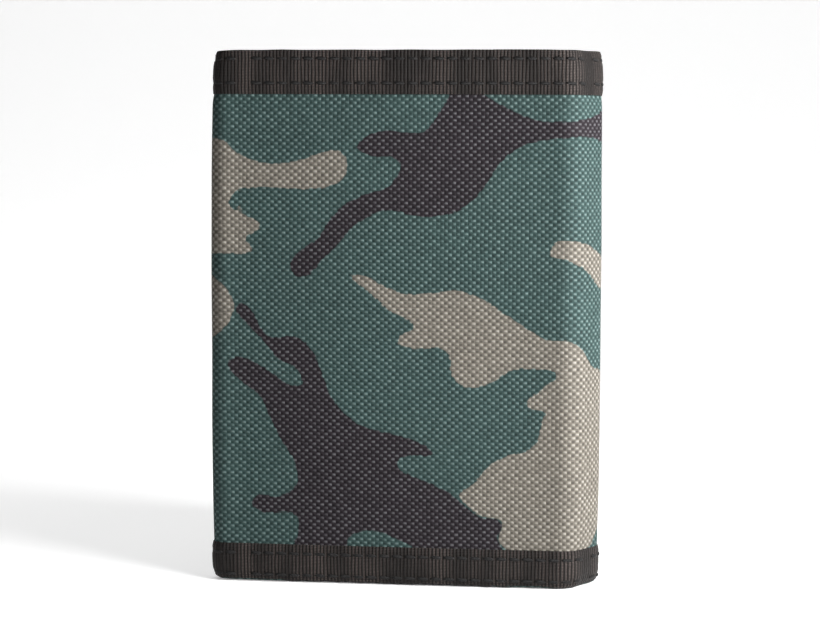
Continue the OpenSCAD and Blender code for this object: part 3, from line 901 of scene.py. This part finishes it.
def repeat(made: bmesh.types.BMesh, way: tuple[float, float, float], times: int,
           geom: Sequence[object] | None = None) -> None:
    """Copies all of a mesh, or the given parts of it, again and again along a step."""
    geom = geom or [*made.verts, *made.edges, *made.faces]
    bmesh.ops.spin(made, geom=geom, cent=(0, 0, 0), axis=(0, 0, 1), dvec=way, angle=0.0,
                   steps=times, use_merge=False, use_duplicate=True)


def bend(made: bmesh.types.BMesh,
         place: Callable[[np.ndarray, np.ndarray, np.ndarray], np.ndarray]) -> None:
    """Moves every vertex to where its flat place goes, and turns the faces outwards."""
    flat = np.array([vert.co for vert in made.verts])
    for vert, moved in zip(made.verts, place(*flat.T)):
        vert.co = moved
    bmesh.ops.recalc_face_normals(made, faces=made.faces)


def declare(width: float, length: float) -> None:
    """Works out a piece's flat size in metres, at least 10 mm each way, and its area, but keeps neither."""
    narrowest = 10.0
    flat = (max(width, narrowest) * MM, max(length, narrowest) * MM)
    width * length * MM * MM


def put(made: bmesh.types.BMesh, name: str, material: bpy.types.Material) -> bpy.types.Object:
    """Turns a mesh into a smooth-shaded object with its material, and frees the mesh."""
    for face in made.faces:
        face.smooth = True
    mesh = bpy.data.meshes.new(name)
    made.to_mesh(mesh)
    made.free()
    piece = bpy.data.objects.new(name, mesh)
    piece.data.materials.append(material)
    bpy.context.scene.collection.objects.link(piece)
    return piece


def finish_piece(made: bmesh.types.BMesh, name: str, finish: str,
                 sharp: float = 50.0) -> bpy.types.Object:
    """Turns a mesh into a piece of the wallet.

    Args:
        made: The mesh, which is freed.
        name: The piece's name.
        finish: The name of its material in FINISHES.
        sharp: The angle in degrees from which an edge is shown sharp.

    Returns:
        The object.
    """
    for edge in made.edges:
        edge.smooth = edge.calc_face_angle(0.0) < math.radians(sharp)
    piece = put(made, name, FINISHES[finish])
    LOG.info("%s: %d faces", name, len(piece.data.polygons))
    return piece


def fasten(piece: bpy.types.Object, body: str, node: str) -> None:
    """Makes a piece ride on a body, in place of a CAD node."""
    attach(piece, body)
    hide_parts(node)


def count(span: Span, step: float) -> int:
    """Returns how many cells of about that step fill a span."""
    return max(1, round(abs(span[1] - span[0]) / step))


def cloth(s: Span, n: Span, z: Span, step: float) -> bmesh.types.BMesh:
    """Returns a flat slab of cloth, folded into place.

    Args:
        s: Its span along the strip.
        n: Its outer and inner depth.
        z: Its span in height.
        step: The size of its cells.
    """
    made = slab(s, z, step)
    inner = made.verts.layers.float.new("inner")
    for vert in made.verts:
        vert[inner] = -vert.co.z
    bend(made, lambda a, b, c: STRIP.place(a, n[0] - c * (n[1] - n[0]), b))
    return made


@dataclass(frozen=True)
class Hem:
    """Tape folded over an edge, as a path in depth and in the direction across the edge.

    The capitals are how far, in millimetres, the tape stands off the cloth, how far it waves, how
    far its stitches draw it in between them and at them, and how wide the drawn-in groove is.
    """

    end: float
    fold: float
    stack: Span
    rows: tuple[float, ...]
    roundness: float = 1.2

    LOOSE = 0.20
    WAVE = 0.10
    DRAWN = 0.15
    DRAWN_MORE = 0.09
    GROOVE = 0.55

    @property
    def side(self) -> float:
        """Returns 1 where the fold is on the high side and -1 where it is on the low side."""
        return 1.0 if self.fold > self.end else -1.0

    @property
    def path(self) -> Path:
        """Returns the tape's underside as a path in the cross direction and in depth."""
        r = min(self.roundness, (self.stack[1] - self.stack[0]) / 2)
        quarter = (r * math.pi / 2, self.side * math.pi / 2)
        leg = (abs(self.fold - self.end) - r, 0.0)
        flat = (self.stack[1] - self.stack[0] - 2 * r, 0.0)
        heading = 0.0 if self.side > 0 else math.pi
        return Path((self.end, self.stack[0]), heading, (leg, quarter, flat, quarter, leg))

    @property
    def width(self) -> float:
        """Returns the tape's whole width, measured across it."""
        return self.path.marks[-1]

    def lift(self, run: np.ndarray, t: np.ndarray, cross: np.ndarray) -> np.ndarray:
        """Returns how far the tape stands off the cloth, drawn in by its rows of stitches."""
        wave = ripple(run / 9, t / 28, self.end) + 0.5 * ripple(run / 4.2, t / 18, self.fold)
        drawn = sum(np.exp(-(((cross - row) / self.GROOVE) ** 2)) for row in self.rows)
        pull = 0.5 + 0.5 * np.cos(2 * math.pi * run / STITCH)
        return self.LOOSE + self.WAVE * wave - drawn * (self.DRAWN + self.DRAWN_MORE * pull)


def tape(hem: Hem, run: Span, along_z: bool = False) -> bmesh.types.BMesh:
    """Returns a length of folded tape in place.

    Args:
        hem: The way that it is folded.
        run: Its span along the edge.
        along_z: True where the edge is upright, at a flap's free end.
    """
    width = hem.width
    made = slab(run, (0.0, width), 0.55, 0.6)
    path, side = hem.path, hem.side

    def place(a: np.ndarray, t: np.ndarray, level: np.ndarray) -> np.ndarray:
        cross, depth, heading = path.at(t)
        edge = np.minimum(t, width - t)
        thick = STRIP.tape * (0.5 + 0.5 * smooth(0, 0.9, edge))
        lift = np.maximum(hem.lift(a, t, cross) * smooth(0, 2.5, edge) - 0.06, -0.05)
        out = lift + thick * (1 + level)
        across = cross + out * side * np.sin(heading)
        s, z = (across, a) if along_z else (a, across)
        if side < 0 and not along_z:
            depth = depth + STRIP.stack(s) * np.clip(depth / hem.stack[1], 0, 1)
        return STRIP.place(s, depth - out * side * np.cos(heading), z)

    bend(made, place)
    return made


@dataclass(frozen=True)
class Row:
    """A straight row of stitches on a surface."""

    start: float
    end: float
    level: float
    depth: float
    upright: bool = False
    size: tuple[float, float, float] = (2.6, 0.50, 0.86)
    slant: float = 5.0

    def sew(self, made: bmesh.types.BMesh) -> None:
        """Adds the row's stitches to a mesh, from the first whole stitch to the last."""
        first, last = math.ceil(self.start / STITCH), math.floor(self.end / STITCH)
        at = (first + 0.5) * STITCH
        place = (self.level, self.depth, at) if self.upright else (at, self.depth, self.level)
        way = (0.0, 0.0, STITCH) if self.upright else (STITCH, 0.0, 0.0)
        tilt = Matrix.Rotation(math.radians(self.slant + (90 if self.upright else 0)), 4, "Y")
        shape = Matrix.Diagonal((*self.size, 1))
        one = bmesh.ops.create_uvsphere(made, u_segments=8, v_segments=6, radius=0.5,
                                        matrix=Matrix.Translation(place) @ tilt @ shape)["verts"]
        faces = {face for vert in one for face in vert.link_faces}
        edges = {edge for vert in one for edge in vert.link_edges}
        if last - first > 1:
            repeat(made, way, last - first - 1, [*one, *edges, *faces])


def sewn(rows: Iterable[Row], name: str) -> bpy.types.Object:
    """Returns one piece of thread with all the rows' stitches in place.

    Those on the bottom tape's inner leg, known by their depth and height, follow its stack.
    """
    made = new_mesh()
    for row in rows:
        row.sew(made)
    mark_pattern(made, 0, 2)

    def place(s: np.ndarray, n: np.ndarray, z: np.ndarray) -> np.ndarray:
        low, high, top = 1.7, 2.8, 12.0
        under = (n > low) & (n < high) & (z < top)
        return STRIP.place(s, n + np.where(under, STRIP.stack(s), 0.0), z)

    bend(made, place)
    return finish_piece(made, name, "thread", 180)


FINISHES: dict[str, bpy.types.Material] = {}


def make_finishes() -> None:
    """Builds every material of the wallet once."""
    black = (0.014, 0.014, 0.015)
    FINISHES.update(
        shell=CamouflageCloth().material(),
        tape=RibbedTape().material(),
        interior=PlainCloth("interior_cloth", black).material(),
        divider=PlainCloth("divider_taffeta", (0.024, 0.024, 0.026), Weave(0.3, 0.28), 0.05).material(),
        pocket=PlainCloth("pocket_cloth", (0.016, 0.016, 0.017)).material(),
        zip_tape=RibbedTape((0.012, 0.012, 0.013), 0.5, 0.5).material("zip_tape"),
        window=ClearSheet().material(),
        hook=Pile("hook_face", (0.020, 0.020, 0.021), 0.9, 0.35).material(),
        loop=Pile("loop_face", (0.030, 0.030, 0.031), 0.7, 0.45).material(),
        thread=SewingThread().material(),
        metal=Enamel().material(),
        coil=CoilPlastic().material(),
    )


# ---- the strip's own pieces ---------------------------------------------


@dataclass
class StripLayers:
    """The cloth layers and bindings that run the whole length of the strip."""

    cell: float = 0.85

    def __post_init__(self) -> None:
        """Reads the layers' depths and heights from the frame."""
        self.shell_n, self.shell_z = STRIP.centre("shell_center")[1:]
        self.divider_n, self.divider_z = STRIP.centre("bill_divider_center")[1:]
        self.interior_n, self.interior_z = STRIP.centre("interior_center")[1:]
        self.top_z = STRIP.centre("top_binding_center")[2]
        self.mid_z = STRIP.centre("interior_binding_center")[2]
        self.bottom_leg = STRIP.centre("bottom_binding_center")[2][1]

    def build(self) -> None:
        """Builds every layer in each of the four lengths."""
        for length in LENGTHS:
            self.shell(length)
            self.plain(length, "bill_divider", self.divider_n, self.divider_z, "divider", 2.0)
            self.plain(length, "interior", self.interior_n, self.interior_z, "interior", 1.4)
            self.bindings(length)
            self.stitching(length)

    def span(self, length: Length) -> Span:
        """Returns a length's span, stopped short of the tape at a flap's free end."""
        low, high = length.s
        gap = 0.1
        if length.part is Part.INNER_FLAP:
            low += STRIP.tape + gap
        if length.part is Part.OUTER_FLAP:
            high -= STRIP.tape + gap
        return low, high

    def settle(self, piece: bpy.types.Object, length: Length, layer: str, up: float) -> None:
        """Fixes a piece to its bodies, in place of its CAD nodes.

        Args:
            piece: The piece.
            length: The length of the strip that it belongs to.
            layer: The CAD nodes' name, before the panel's.
            up: The flat width of the cloth or tape.
        """
        length.settle(piece)
        for panel in length.stands_for:
            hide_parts(f"{layer}_{panel}")
        declare(length.s[1] - length.s[0], up)

    def shell(self, length: Length) -> None:
        """Builds the printed cloth, with the print's distances stored on the mesh."""
        span = self.span(length)
        made = cloth(span, self.shell_n, self.shell_z, self.cell)
        layer = made.loops.layers.uv["pattern"]
        flat = np.zeros((len(made.verts), 2))
        for index, vert in enumerate(made.verts):
            flat[index] = vert.link_loops[0][layer].uv
        for name, values in Print().fields(flat).items():
            store = made.verts.layers.float.new(name)
            for vert, value in zip(made.verts, values):
                vert[store] = value
        inner = made.verts.layers.float["inner"]
        lining = {vert for vert in made.verts if vert[inner] > 0.5}
        for face in made.faces:
            face.material_index = int(all(vert in lining for vert in face.verts))
        piece = finish_piece(made, f"printed_shell_{length.part.value}", "shell")
        piece.data.materials.append(FINISHES["interior"])
        self.settle(piece, length, "shell", self.shell_z[1] - self.shell_z[0])

    def plain(self, length: Length, layer: str, n: Span, z: Span, finish: str, step: float) -> None:
        """Builds one plain layer behind the shell."""
        made = cloth(self.span(length), n, z, step)
        piece = finish_piece(made, f"{layer}_cloth_{length.part.value}", finish)
        self.settle(piece, length, layer, z[1] - z[0])

    def hems(self) -> dict[str, Hem]:
        """Returns how each of the three long bindings is folded, with its rows of stitches."""
        t, leg, slack = STRIP.tape, self.bottom_leg, 0.22
        low, high = self.top_z
        mid_low, mid_high = self.mid_z
        return {
            "top_binding": Hem(low, high - t, self.shell_n, (low + 2.5, high - 2.2)),
            "interior_binding": Hem(mid_low, mid_high - t, self.interior_n,
                                    (mid_low + 2.4, mid_high - 2.2)),
            "bottom_binding": Hem(leg, t + slack, (0.0, self.interior_n[1]), (leg - 2.1, 1.8)),
        }

    def run(self, length: Length) -> Span:
        """Returns a binding's span, which ends just under the tape on a flap's free end."""
        low, high = length.s
        overlap = 0.3
        if length.part is Part.INNER_FLAP:
            (u0, u1), _, _ = STRIP.inner("end_binding_inner_flap")
            low += u1 - u0 - overlap
        if length.part is Part.OUTER_FLAP:
            (u0, u1), _, _ = STRIP.outer("end_binding_outer_flap")
            high -= u1 - u0 - overlap
        return low, high

    def bindings(self, length: Length) -> None:
        """Builds the three long bindings of one length."""
        for layer, hem in self.hems().items():
            made = tape(hem, self.run(length))
            piece = finish_piece(made, f"{layer}_tape_{length.part.value}", "tape")
            self.settle(piece, length, layer, hem.width)

    def stitching(self, length: Length) -> None:
        """Sews the three bindings of one length, on both of their sides."""
        low, high = self.run(length)
        face = STRIP.tape - BEDDED
        rows = []
        for hem in self.hems().values():
            for level in hem.rows:
                rows.append(Row(low, high, level, hem.stack[0] - face))
                rows.append(Row(low, high, level, hem.stack[1] + face))
        piece = sewn(rows, f"binding_stitches_{length.part.value}")
        length.settle(piece)


@dataclass
class FreeEnds:
    """The tape round each flap's free end."""

    def build(self) -> None:
        """Builds both ends with their stitches."""
        inner = STRIP.inner("end_binding_inner_flap")
        outer = STRIP.outer("end_binding_outer_flap")
        self.end("inner_flap", -STRIP.left.marks[4], -1, inner)
        self.end("outer_flap", STRIP.right.marks[4], 1, outer)

    def end(self, body: str, edge: float, side: int, box: tuple[Span, Span, Span]) -> None:
        """Builds one end.

        Args:
            body: The flap that it is on.
            edge: The strip's end, in s.
            side: 1 at the right end of the strip and -1 at the left.
            box: The CAD node's span in u, n and z.
        """
        leg = box[0][1] - box[0][0]
        depth = box[1][1] - STRIP.tape
        outer = edge - side * leg
        rows = (edge - side * 2.0, outer + side * 2.4)
        hem = Hem(outer, edge - side * STRIP.tape, (0.0, depth), rows)
        made = tape(hem, box[2], along_z=True)
        piece = finish_piece(made, f"end_binding_tape_{body}", "tape")
        fasten(piece, body, f"end_binding_{body}")
        declare(hem.width, box[2][1] - box[2][0])
        face = STRIP.tape - BEDDED
        sides = [Row(box[2][0] + 1, box[2][1] - 1, row, n, True)
                 for row in rows for n in (-face, depth + face)]
        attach(sewn(sides, f"end_stitches_{body}"), body)


@dataclass
class Patch:
    """A flat piece of cloth or tape sewn on a panel, with a crown and a hem along its top."""

    name: str
    body: str
    s: Span
    n: Span
    z: Span
    finish: str
    node: str
    step: float = 1.2
    puff: float = 0.0
    hem: float = 0.0

    HEM_RISE = 0.12

    def place(self, s: np.ndarray, z: np.ndarray, level: np.ndarray) -> np.ndarray:
        """Returns the places of points of the patch, with its crown and its hem."""
        edge = np.minimum(np.minimum(s - self.s[0], self.s[1] - s),
                          np.minimum(z - self.z[0], self.z[1] - z))
        crown = self.puff * smooth(0, 9, edge) * (1 + 0.25 * ripple(s / 22, z / 30, 2.0))
        crown = crown + np.where(self.z[1] - z < self.hem, self.HEM_RISE, 0.0)
        side = 1 if self.n[1] > 0 else -1
        top = self.n[0] + (self.n[1] - self.n[0]) * (1 + level)
        return STRIP.place(s, top + crown * side * (1 + level), z)

    def build(self) -> None:
        """Builds the patch and fixes it to its body."""
        made = slab(self.s, self.z, self.step)
        bend(made, self.place)
        piece = finish_piece(made, self.name, self.finish)
        fasten(piece, self.body, self.node)
        declare(self.s[1] - self.s[0], self.z[1] - self.z[0])


def edge_rows(s: Span, z: Span, n: float, sides: str = "lrbt", inset: float = 1.2) -> list[Row]:
    """Returns rows of stitches just inside a patch's edges.

    Args:
        s: The patch's span along the strip.
        z: The patch's span in height.
        n: The depth of the surface that the thread lies on.
        sides: Which sides to sew: left, right, bottom and top, by their first letters.
        inset: The distance from the edge.
    """
    rows = []
    for side, level in (("l", s[0] + inset), ("r", s[1] - inset)):
        if side in sides:
            rows.append(Row(z[0] + 0.5, z[1] - 0.5, level, n, True))
    for side, level in (("b", z[0] + inset), ("t", z[1] - inset)):
        if side in sides:
            rows.append(Row(s[0] + 0.5, s[1] - 0.5, level, n))
    return rows


@dataclass
class CentreInside:
    """The window pocket on the centre panel."""

    trim_width: float = 6.0

    def build(self) -> None:
        """Builds the backing, the clear sheet and the trim."""
        s, n, z = STRIP.centre("window_backing")
        Patch("window_backing_cloth", "center", s, n, z, "pocket", "window_backing", 2.0).build()
        s, n, z = STRIP.centre("id_window")
        Patch("clear_window", "center", s, n, z, "window", "id_window", 1.5).build()
        self.trim()

    def trim(self) -> None:
        """Builds the flat tape frame round the window, with two rows of stitches."""
        s, n, z = STRIP.centre("window_trim")
        width = self.trim_width
        cells = grid(s, z, (count(s, 1.0), count(z, 1.0)))
        gone = [f for f in cells.faces
                if s[0] + width < f.calc_center_median().x < s[1] - width
                and f.calc_center_median().y < z[1] - width]
        bmesh.ops.delete(cells, geom=gone, context="FACES")
        thicken(cells)
        layer = cells.loops.layers.uv["pattern"]
        for face in cells.faces:
            if face.calc_center_median().y < z[1] - width:
                for loop in face.loops:
                    loop[layer].uv = loop[layer].uv.yx
        bend(cells, lambda a, b, c: STRIP.place(a, n[0] + (n[1] - n[0]) * (1 + c), b))
        piece = finish_piece(cells, "window_trim_tape", "tape")
        fasten(piece, "center", "window_trim")
        declare(width, s[1] - s[0] + 2 * (z[1] - z[0] - width))
        inner = (s[0] + width, s[1] - width), (z[0], z[1] - width)
        rows = edge_rows(s, z, n[1] + PROUD, "lrt", 1.1)
        rows += edge_rows(*inner, n[1] + PROUD, "lrt", -1.1)
        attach(sewn(rows, "window_stitches"), "center")


@dataclass
class InnerFlap:
    """The card slots inside the inner flap and the loop strip outside it."""

    hem_row: float = 3.2
    over_hem: float = 0.16

    def span(self, node: str) -> tuple[Span, Span, Span]:
        """Returns a node's span in s, n and z."""
        (u0, u1), n, z = STRIP.inner(node)
        arm = STRIP.left
        return (-arm.from_second(u1), -arm.from_second(u0)), n, z

    def build(self) -> None:
        """Builds three card slots and the loop strip."""
        rows = []
        for step in ("back", "middle", "front"):
            node = f"card_slot_{step}"
            s, n, z = self.span(node)
            Patch(f"card_pocket_{step}", "inner_flap", s, n, z, "pocket", node, 1.3, 0.05, 4.0).build()
            rows.append(Row(s[0] + 1, s[1] - 1, z[1] - self.hem_row, n[1] + self.over_hem))
        rows += edge_rows(s, z, n[1] + PROUD, "r", 1.0)
        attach(sewn(rows, "card_pocket_stitches"), "inner_flap")
        s, n, z = self.span("loop_strip")
        Patch("loop_strip_pile", "inner_flap", s, (n[1], n[0]), z, "loop", "loop_strip", 0.9,
              0.25).build()
        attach(sewn(edge_rows(s, z, n[0] + BEDDED), "loop_stitches"), "inner_flap")


@dataclass
class OuterFlap:
    """The zipped coin pocket and the hook strip inside the outer flap."""

    pitch: float = 1.25
    lap: float = 0.45
    wire: float = 0.58
    cord: float = 0.5
    cloth: float = 0.35
    backing: float = 0.7
    hook_pitch: float = 1.15

    def span(self, node: str) -> tuple[Span, Span, Span]:
        """Returns a node's span in s, n and z."""
        (u0, u1), n, z = STRIP.outer(node)
        arm = STRIP.right
        return (arm.from_second(u0), arm.from_second(u1)), n, z

    def build(self) -> None:
        """Builds the hook strip, the pocket's two halves and the zip."""
        self.hooks()
        self.pocket("coin_pocket_lower", 0.55)
        self.pocket("coin_pocket_upper", 0.0)
        for side in ("lower", "upper"):
            self.zip_tape(side)
            self.coil(side)

    def pocket(self, node: str, puff: float) -> None:
        """Builds one half of the pocket's front as a crowned cloth with turned-down edges.

        Args:
            node: The CAD node.
            puff: How far its middle stands off, in millimetres.
        """
        s, n, z = self.span(node)
        sewn_low = node.endswith("lower")
        base, front = n[0], n[1]
        made = slab(s, z, 0.9)
        thick = self.cloth

        def place(a: np.ndarray, b: np.ndarray, c: np.ndarray) -> np.ndarray:
            sewn_edge = np.minimum(np.minimum(a - s[0], s[1] - a), b - z[0] if sewn_low else z[1] - b)
            free_edge = z[1] - b if sewn_low else b - z[0]
            rise = smooth(-0.2, 2.2, sewn_edge)
            crown = puff * smooth(0, 14, sewn_edge) * (0.55 + 0.45 * smooth(0, 12, free_edge))
            waves = 0.10 * ripple(a / 16, b / 16, 7.0) * smooth(0, 4, sewn_edge)
            back = base + 0.02 + (front - thick - base) * rise + crown + waves
            return STRIP.place(a, back + thick * (1 + c), b)

        bend(made, place)
        piece = finish_piece(made, f"{node}_cloth", "pocket")
        fasten(piece, "outer_flap", node)
        declare(s[1] - s[0], z[1] - z[0])
        level = z[1] - 1.3 if sewn_low else z[0] + 1.3
        rows = [Row(s[0] + 1.5, s[1] - 1.5, level, front + PROUD)]
        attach(sewn(rows, f"{node}_stitches"), "outer_flap")

    def zip_tape(self, side: str) -> None:
        """Builds one woven zip tape."""
        node = f"zip_tape_{side}"
        s, n, z = self.span(node)
        Patch(f"{node}_weave", "outer_flap", s, n, z, "zip_tape", node, 0.8).build()

    def coil(self, side: str) -> None:
        """Builds one coil as a row of bent filament turns, each reaching over the middle."""
        node = f"zip_coil_{side}"
        s, n, z = self.span(node)
        middle = (self.span("zip_coil_lower")[2][0] + self.span("zip_coil_upper")[2][1]) / 2
        way = 1 if side == "upper" else -1
        shift = 0.0 if side == "upper" else 0.5
        far = z[1] if side == "upper" else z[0]
        made = new_mesh()
        turns = int((s[1] - s[0] - 3) / self.pitch)
        reach = abs(far - middle) + self.lap
        centre = (s[0] + 1.6 + shift * self.pitch, (n[0] + n[1]) / 2,
                  middle + way * (reach / 2 - self.lap))
        lean = Matrix.Rotation(math.radians(7), 4, "Y")
        body = Matrix.Diagonal((self.wire, (n[1] - n[0]) * 0.92, reach, 1))
        bmesh.ops.create_uvsphere(made, u_segments=8, v_segments=7, radius=0.5,
                                  matrix=Matrix.Translation(centre) @ lean @ body)
        repeat(made, (self.pitch, 0.0, 0.0), turns - 1)
        cord = Matrix.Translation(((s[0] + s[1]) / 2, (n[0] + n[1]) / 2, far - way * 0.3))
        along = Matrix.Rotation(math.pi / 2, 4, "Y") @ Matrix.Diagonal((self.cord, self.cord, 1, 1))
        bmesh.ops.create_cone(made, cap_ends=True, segments=12, radius1=0.5, radius2=0.5,
                              depth=s[1] - s[0] - 0.4, matrix=cord @ along)
        bend(made, STRIP.place)
        piece = finish_piece(made, f"{node}_turns", "coil")
        fasten(piece, "outer_flap", node)

    def hooks(self) -> None:
        """Builds the hook strip's backing and its field of small bent hooks."""
        s, n, z = self.span("hook_strip")
        back = (n[0], n[0] + self.backing)
        Patch("hook_strip_backing", "outer_flap", s, back, z, "hook", "hook_strip", 1.2).build()
        made = new_mesh()
        across, up = count((s[0] + 2, s[1] - 2), self.hook_pitch), count((z[0] + 2, z[1] - 2), 1.0)
        for row in (0, 1):
            at = s[0] + 2.2 + 0.5 * row * self.hook_pitch
            self.hook(made, at, back[1], z[0] + 2.5 + row, n[1] - back[1])
        repeat(made, (self.hook_pitch, 0.0, 0.0), across - 2)
        repeat(made, (0.0, 0.0, 2.0), up // 2 - 1)
        bend(made, STRIP.place)
        piece = finish_piece(made, "hook_strip_hooks", "coil", 180)
        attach(piece, "outer_flap")
        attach(sewn(edge_rows(s, z, back[1] + PROUD), "hook_stitches"), "outer_flap")

    @staticmethod
    def hook(made: bmesh.types.BMesh, s: float, n: float, z: float, tall: float) -> None:
        """Adds one hook: a thin stalk with a bent tip."""
        stalk = Matrix.Translation((s, n + tall * 0.4, z)) @ Matrix.Rotation(math.pi / 2, 4, "X")
        bmesh.ops.create_cone(made, cap_ends=False, segments=4, radius1=0.10, radius2=0.13,
                              depth=tall * 0.8, matrix=stalk)
        tip = Matrix.Translation((s + 0.12, n + tall * 0.86, z))
        bmesh.ops.create_icosphere(made, subdivisions=1, radius=0.5,
                                   matrix=tip @ Matrix.Diagonal((0.5, 0.26, 0.24, 1)))


@dataclass
class Hardware:
    """The zip's cast parts, with their CAD shape and softened edges."""

    soft_edge: float = 0.09

    def build(self) -> None:
        """Builds the slider, the pull and the end stops."""
        for node, body in (("zip_slider", "zip_slider"), ("zip_pull", "zip_pull"),
                           ("zip_stops", "outer_flap")):
            self.cast(node, body)

    def cast(self, node: str, body: str) -> None:
        """Copies a CAD node, joins its loose faces and rounds its edges."""
        made = bmesh.new()
        made.from_mesh(frame["nodes"][node].data)
        bmesh.ops.remove_doubles(made, verts=made.verts, dist=0.002 * MM)
        bmesh.ops.dissolve_limit(made, angle_limit=math.radians(1), verts=made.verts,
                                 edges=made.edges)
        sharp = [e for e in made.edges if e.calc_face_angle(0.0) > math.radians(40)]
        bmesh.ops.bevel(made, geom=sharp, offset=self.soft_edge * MM, affect="EDGES", segments=2,
                        profile=0.5, material=-1, clamp_overlap=True)
        bmesh.ops.recalc_face_normals(made, faces=made.faces)
        piece = finish_piece(made, f"{node}_cast", "metal", sharp=35)
        fasten(piece, body, node)


# ---- floor, light and camera --------------------------------------------


@dataclass
class Studio:
    """A plain pale floor that curves up behind, soft lights and the camera."""

    distance: float = 0.50
    azimuth: float = 7.0
    eye_height: float = 0.098
    lens: float = 98.0
    aim: tuple[float, float, float] = (0.0041, 0.0, 0.0605)
    roll: float = 0.30
    room: float = 0.05

    LAMPS = (
        ("key", (0.27, -0.12, 0.18), 0.26, 3.7),
        ("front", (0.30, -0.90, 0.60), 0.8, 0.12),
        ("back", (0.0, 0.9, 1.5), 2.4, 26.0),
    )

    def build(self) -> None:
        """Builds the floor, the lights and the camera."""
        self.floor()
        for lamp in self.LAMPS:
            self.light(*lamp)
        world = bpy.data.worlds.new("soft_room")
        world.use_nodes = True
        backdrop = world.node_tree.nodes["Background"]
        backdrop.inputs[0].default_value = (1.0, 1.0, 1.0, 1.0)
        backdrop.inputs[1].default_value = self.room
        scene = bpy.context.scene
        scene.world = world
        scene.view_settings.view_transform = "Standard"
        self.camera()

    def floor(self) -> None:
        """Builds the floor and backdrop as one sheet with a round corner."""
        made = bmesh.new()
        side, radius, start = 6.0, 0.8, 1.2
        bmesh.ops.create_grid(made, x_segments=2, y_segments=60, size=0.5,
                              matrix=Matrix.Diagonal((side, side, 1, 1)))
        for vert in made.verts:
            past = vert.co.y - start
            if past > 0:
                angle = min(past / radius, math.pi / 2)
                vert.co.y = start + radius * math.sin(angle)
                vert.co.z = radius * (1 - math.cos(angle)) + max(past - radius * angle, 0)
        put(made, "floor", PaleFloor().material())

    @staticmethod
    def light(name: str, place: tuple[float, float, float], size: float, power: float) -> None:
        """Adds one soft square light that looks at the wallet's middle."""
        data = bpy.data.lights.new(name, "AREA")
        data.size, data.energy = size, power
        lamp = bpy.data.objects.new(name, data)
        lamp.location = place
        aim = Vector((0, 0, STRIP.height / 2 * MM)) - Vector(place)
        lamp.rotation_euler = aim.to_track_quat("-Z", "Y").to_euler()
        bpy.context.scene.collection.objects.link(lamp)

    def camera(self) -> None:
        """Adds the camera, a little to the right and looking slightly down."""
        data = bpy.data.cameras.new("camera")
        data.lens, data.sensor_width = self.lens, 36.0
        data.clip_start = 0.01
        camera = bpy.data.objects.new("camera", data)
        angle = math.radians(self.azimuth)
        aim = Vector(self.aim)
        camera.location = (aim.x + self.distance * math.sin(angle),
                           aim.y - self.distance * math.cos(angle), self.eye_height)
        turn = (aim - camera.location).to_track_quat("-Z", "Y").to_matrix().to_4x4()
        turn = turn @ Matrix.Rotation(math.radians(self.roll), 4, "Z")
        camera.rotation_euler = turn.to_euler()
        bpy.context.scene.collection.objects.link(camera)
        bpy.context.scene.camera = camera


def main() -> None:
    """Builds the wallet's pieces in order, then the studio."""
    logging.basicConfig(level=logging.INFO, format="%(message)s")
    make_finishes()
    for group in (StripLayers(), FreeEnds(), CentreInside(), InnerFlap(), OuterFlap(), Hardware()):
        LOG.info("building %s", type(group).__name__)
        group.build()
    Studio().build()


if __name__ == "__main__":
    main()
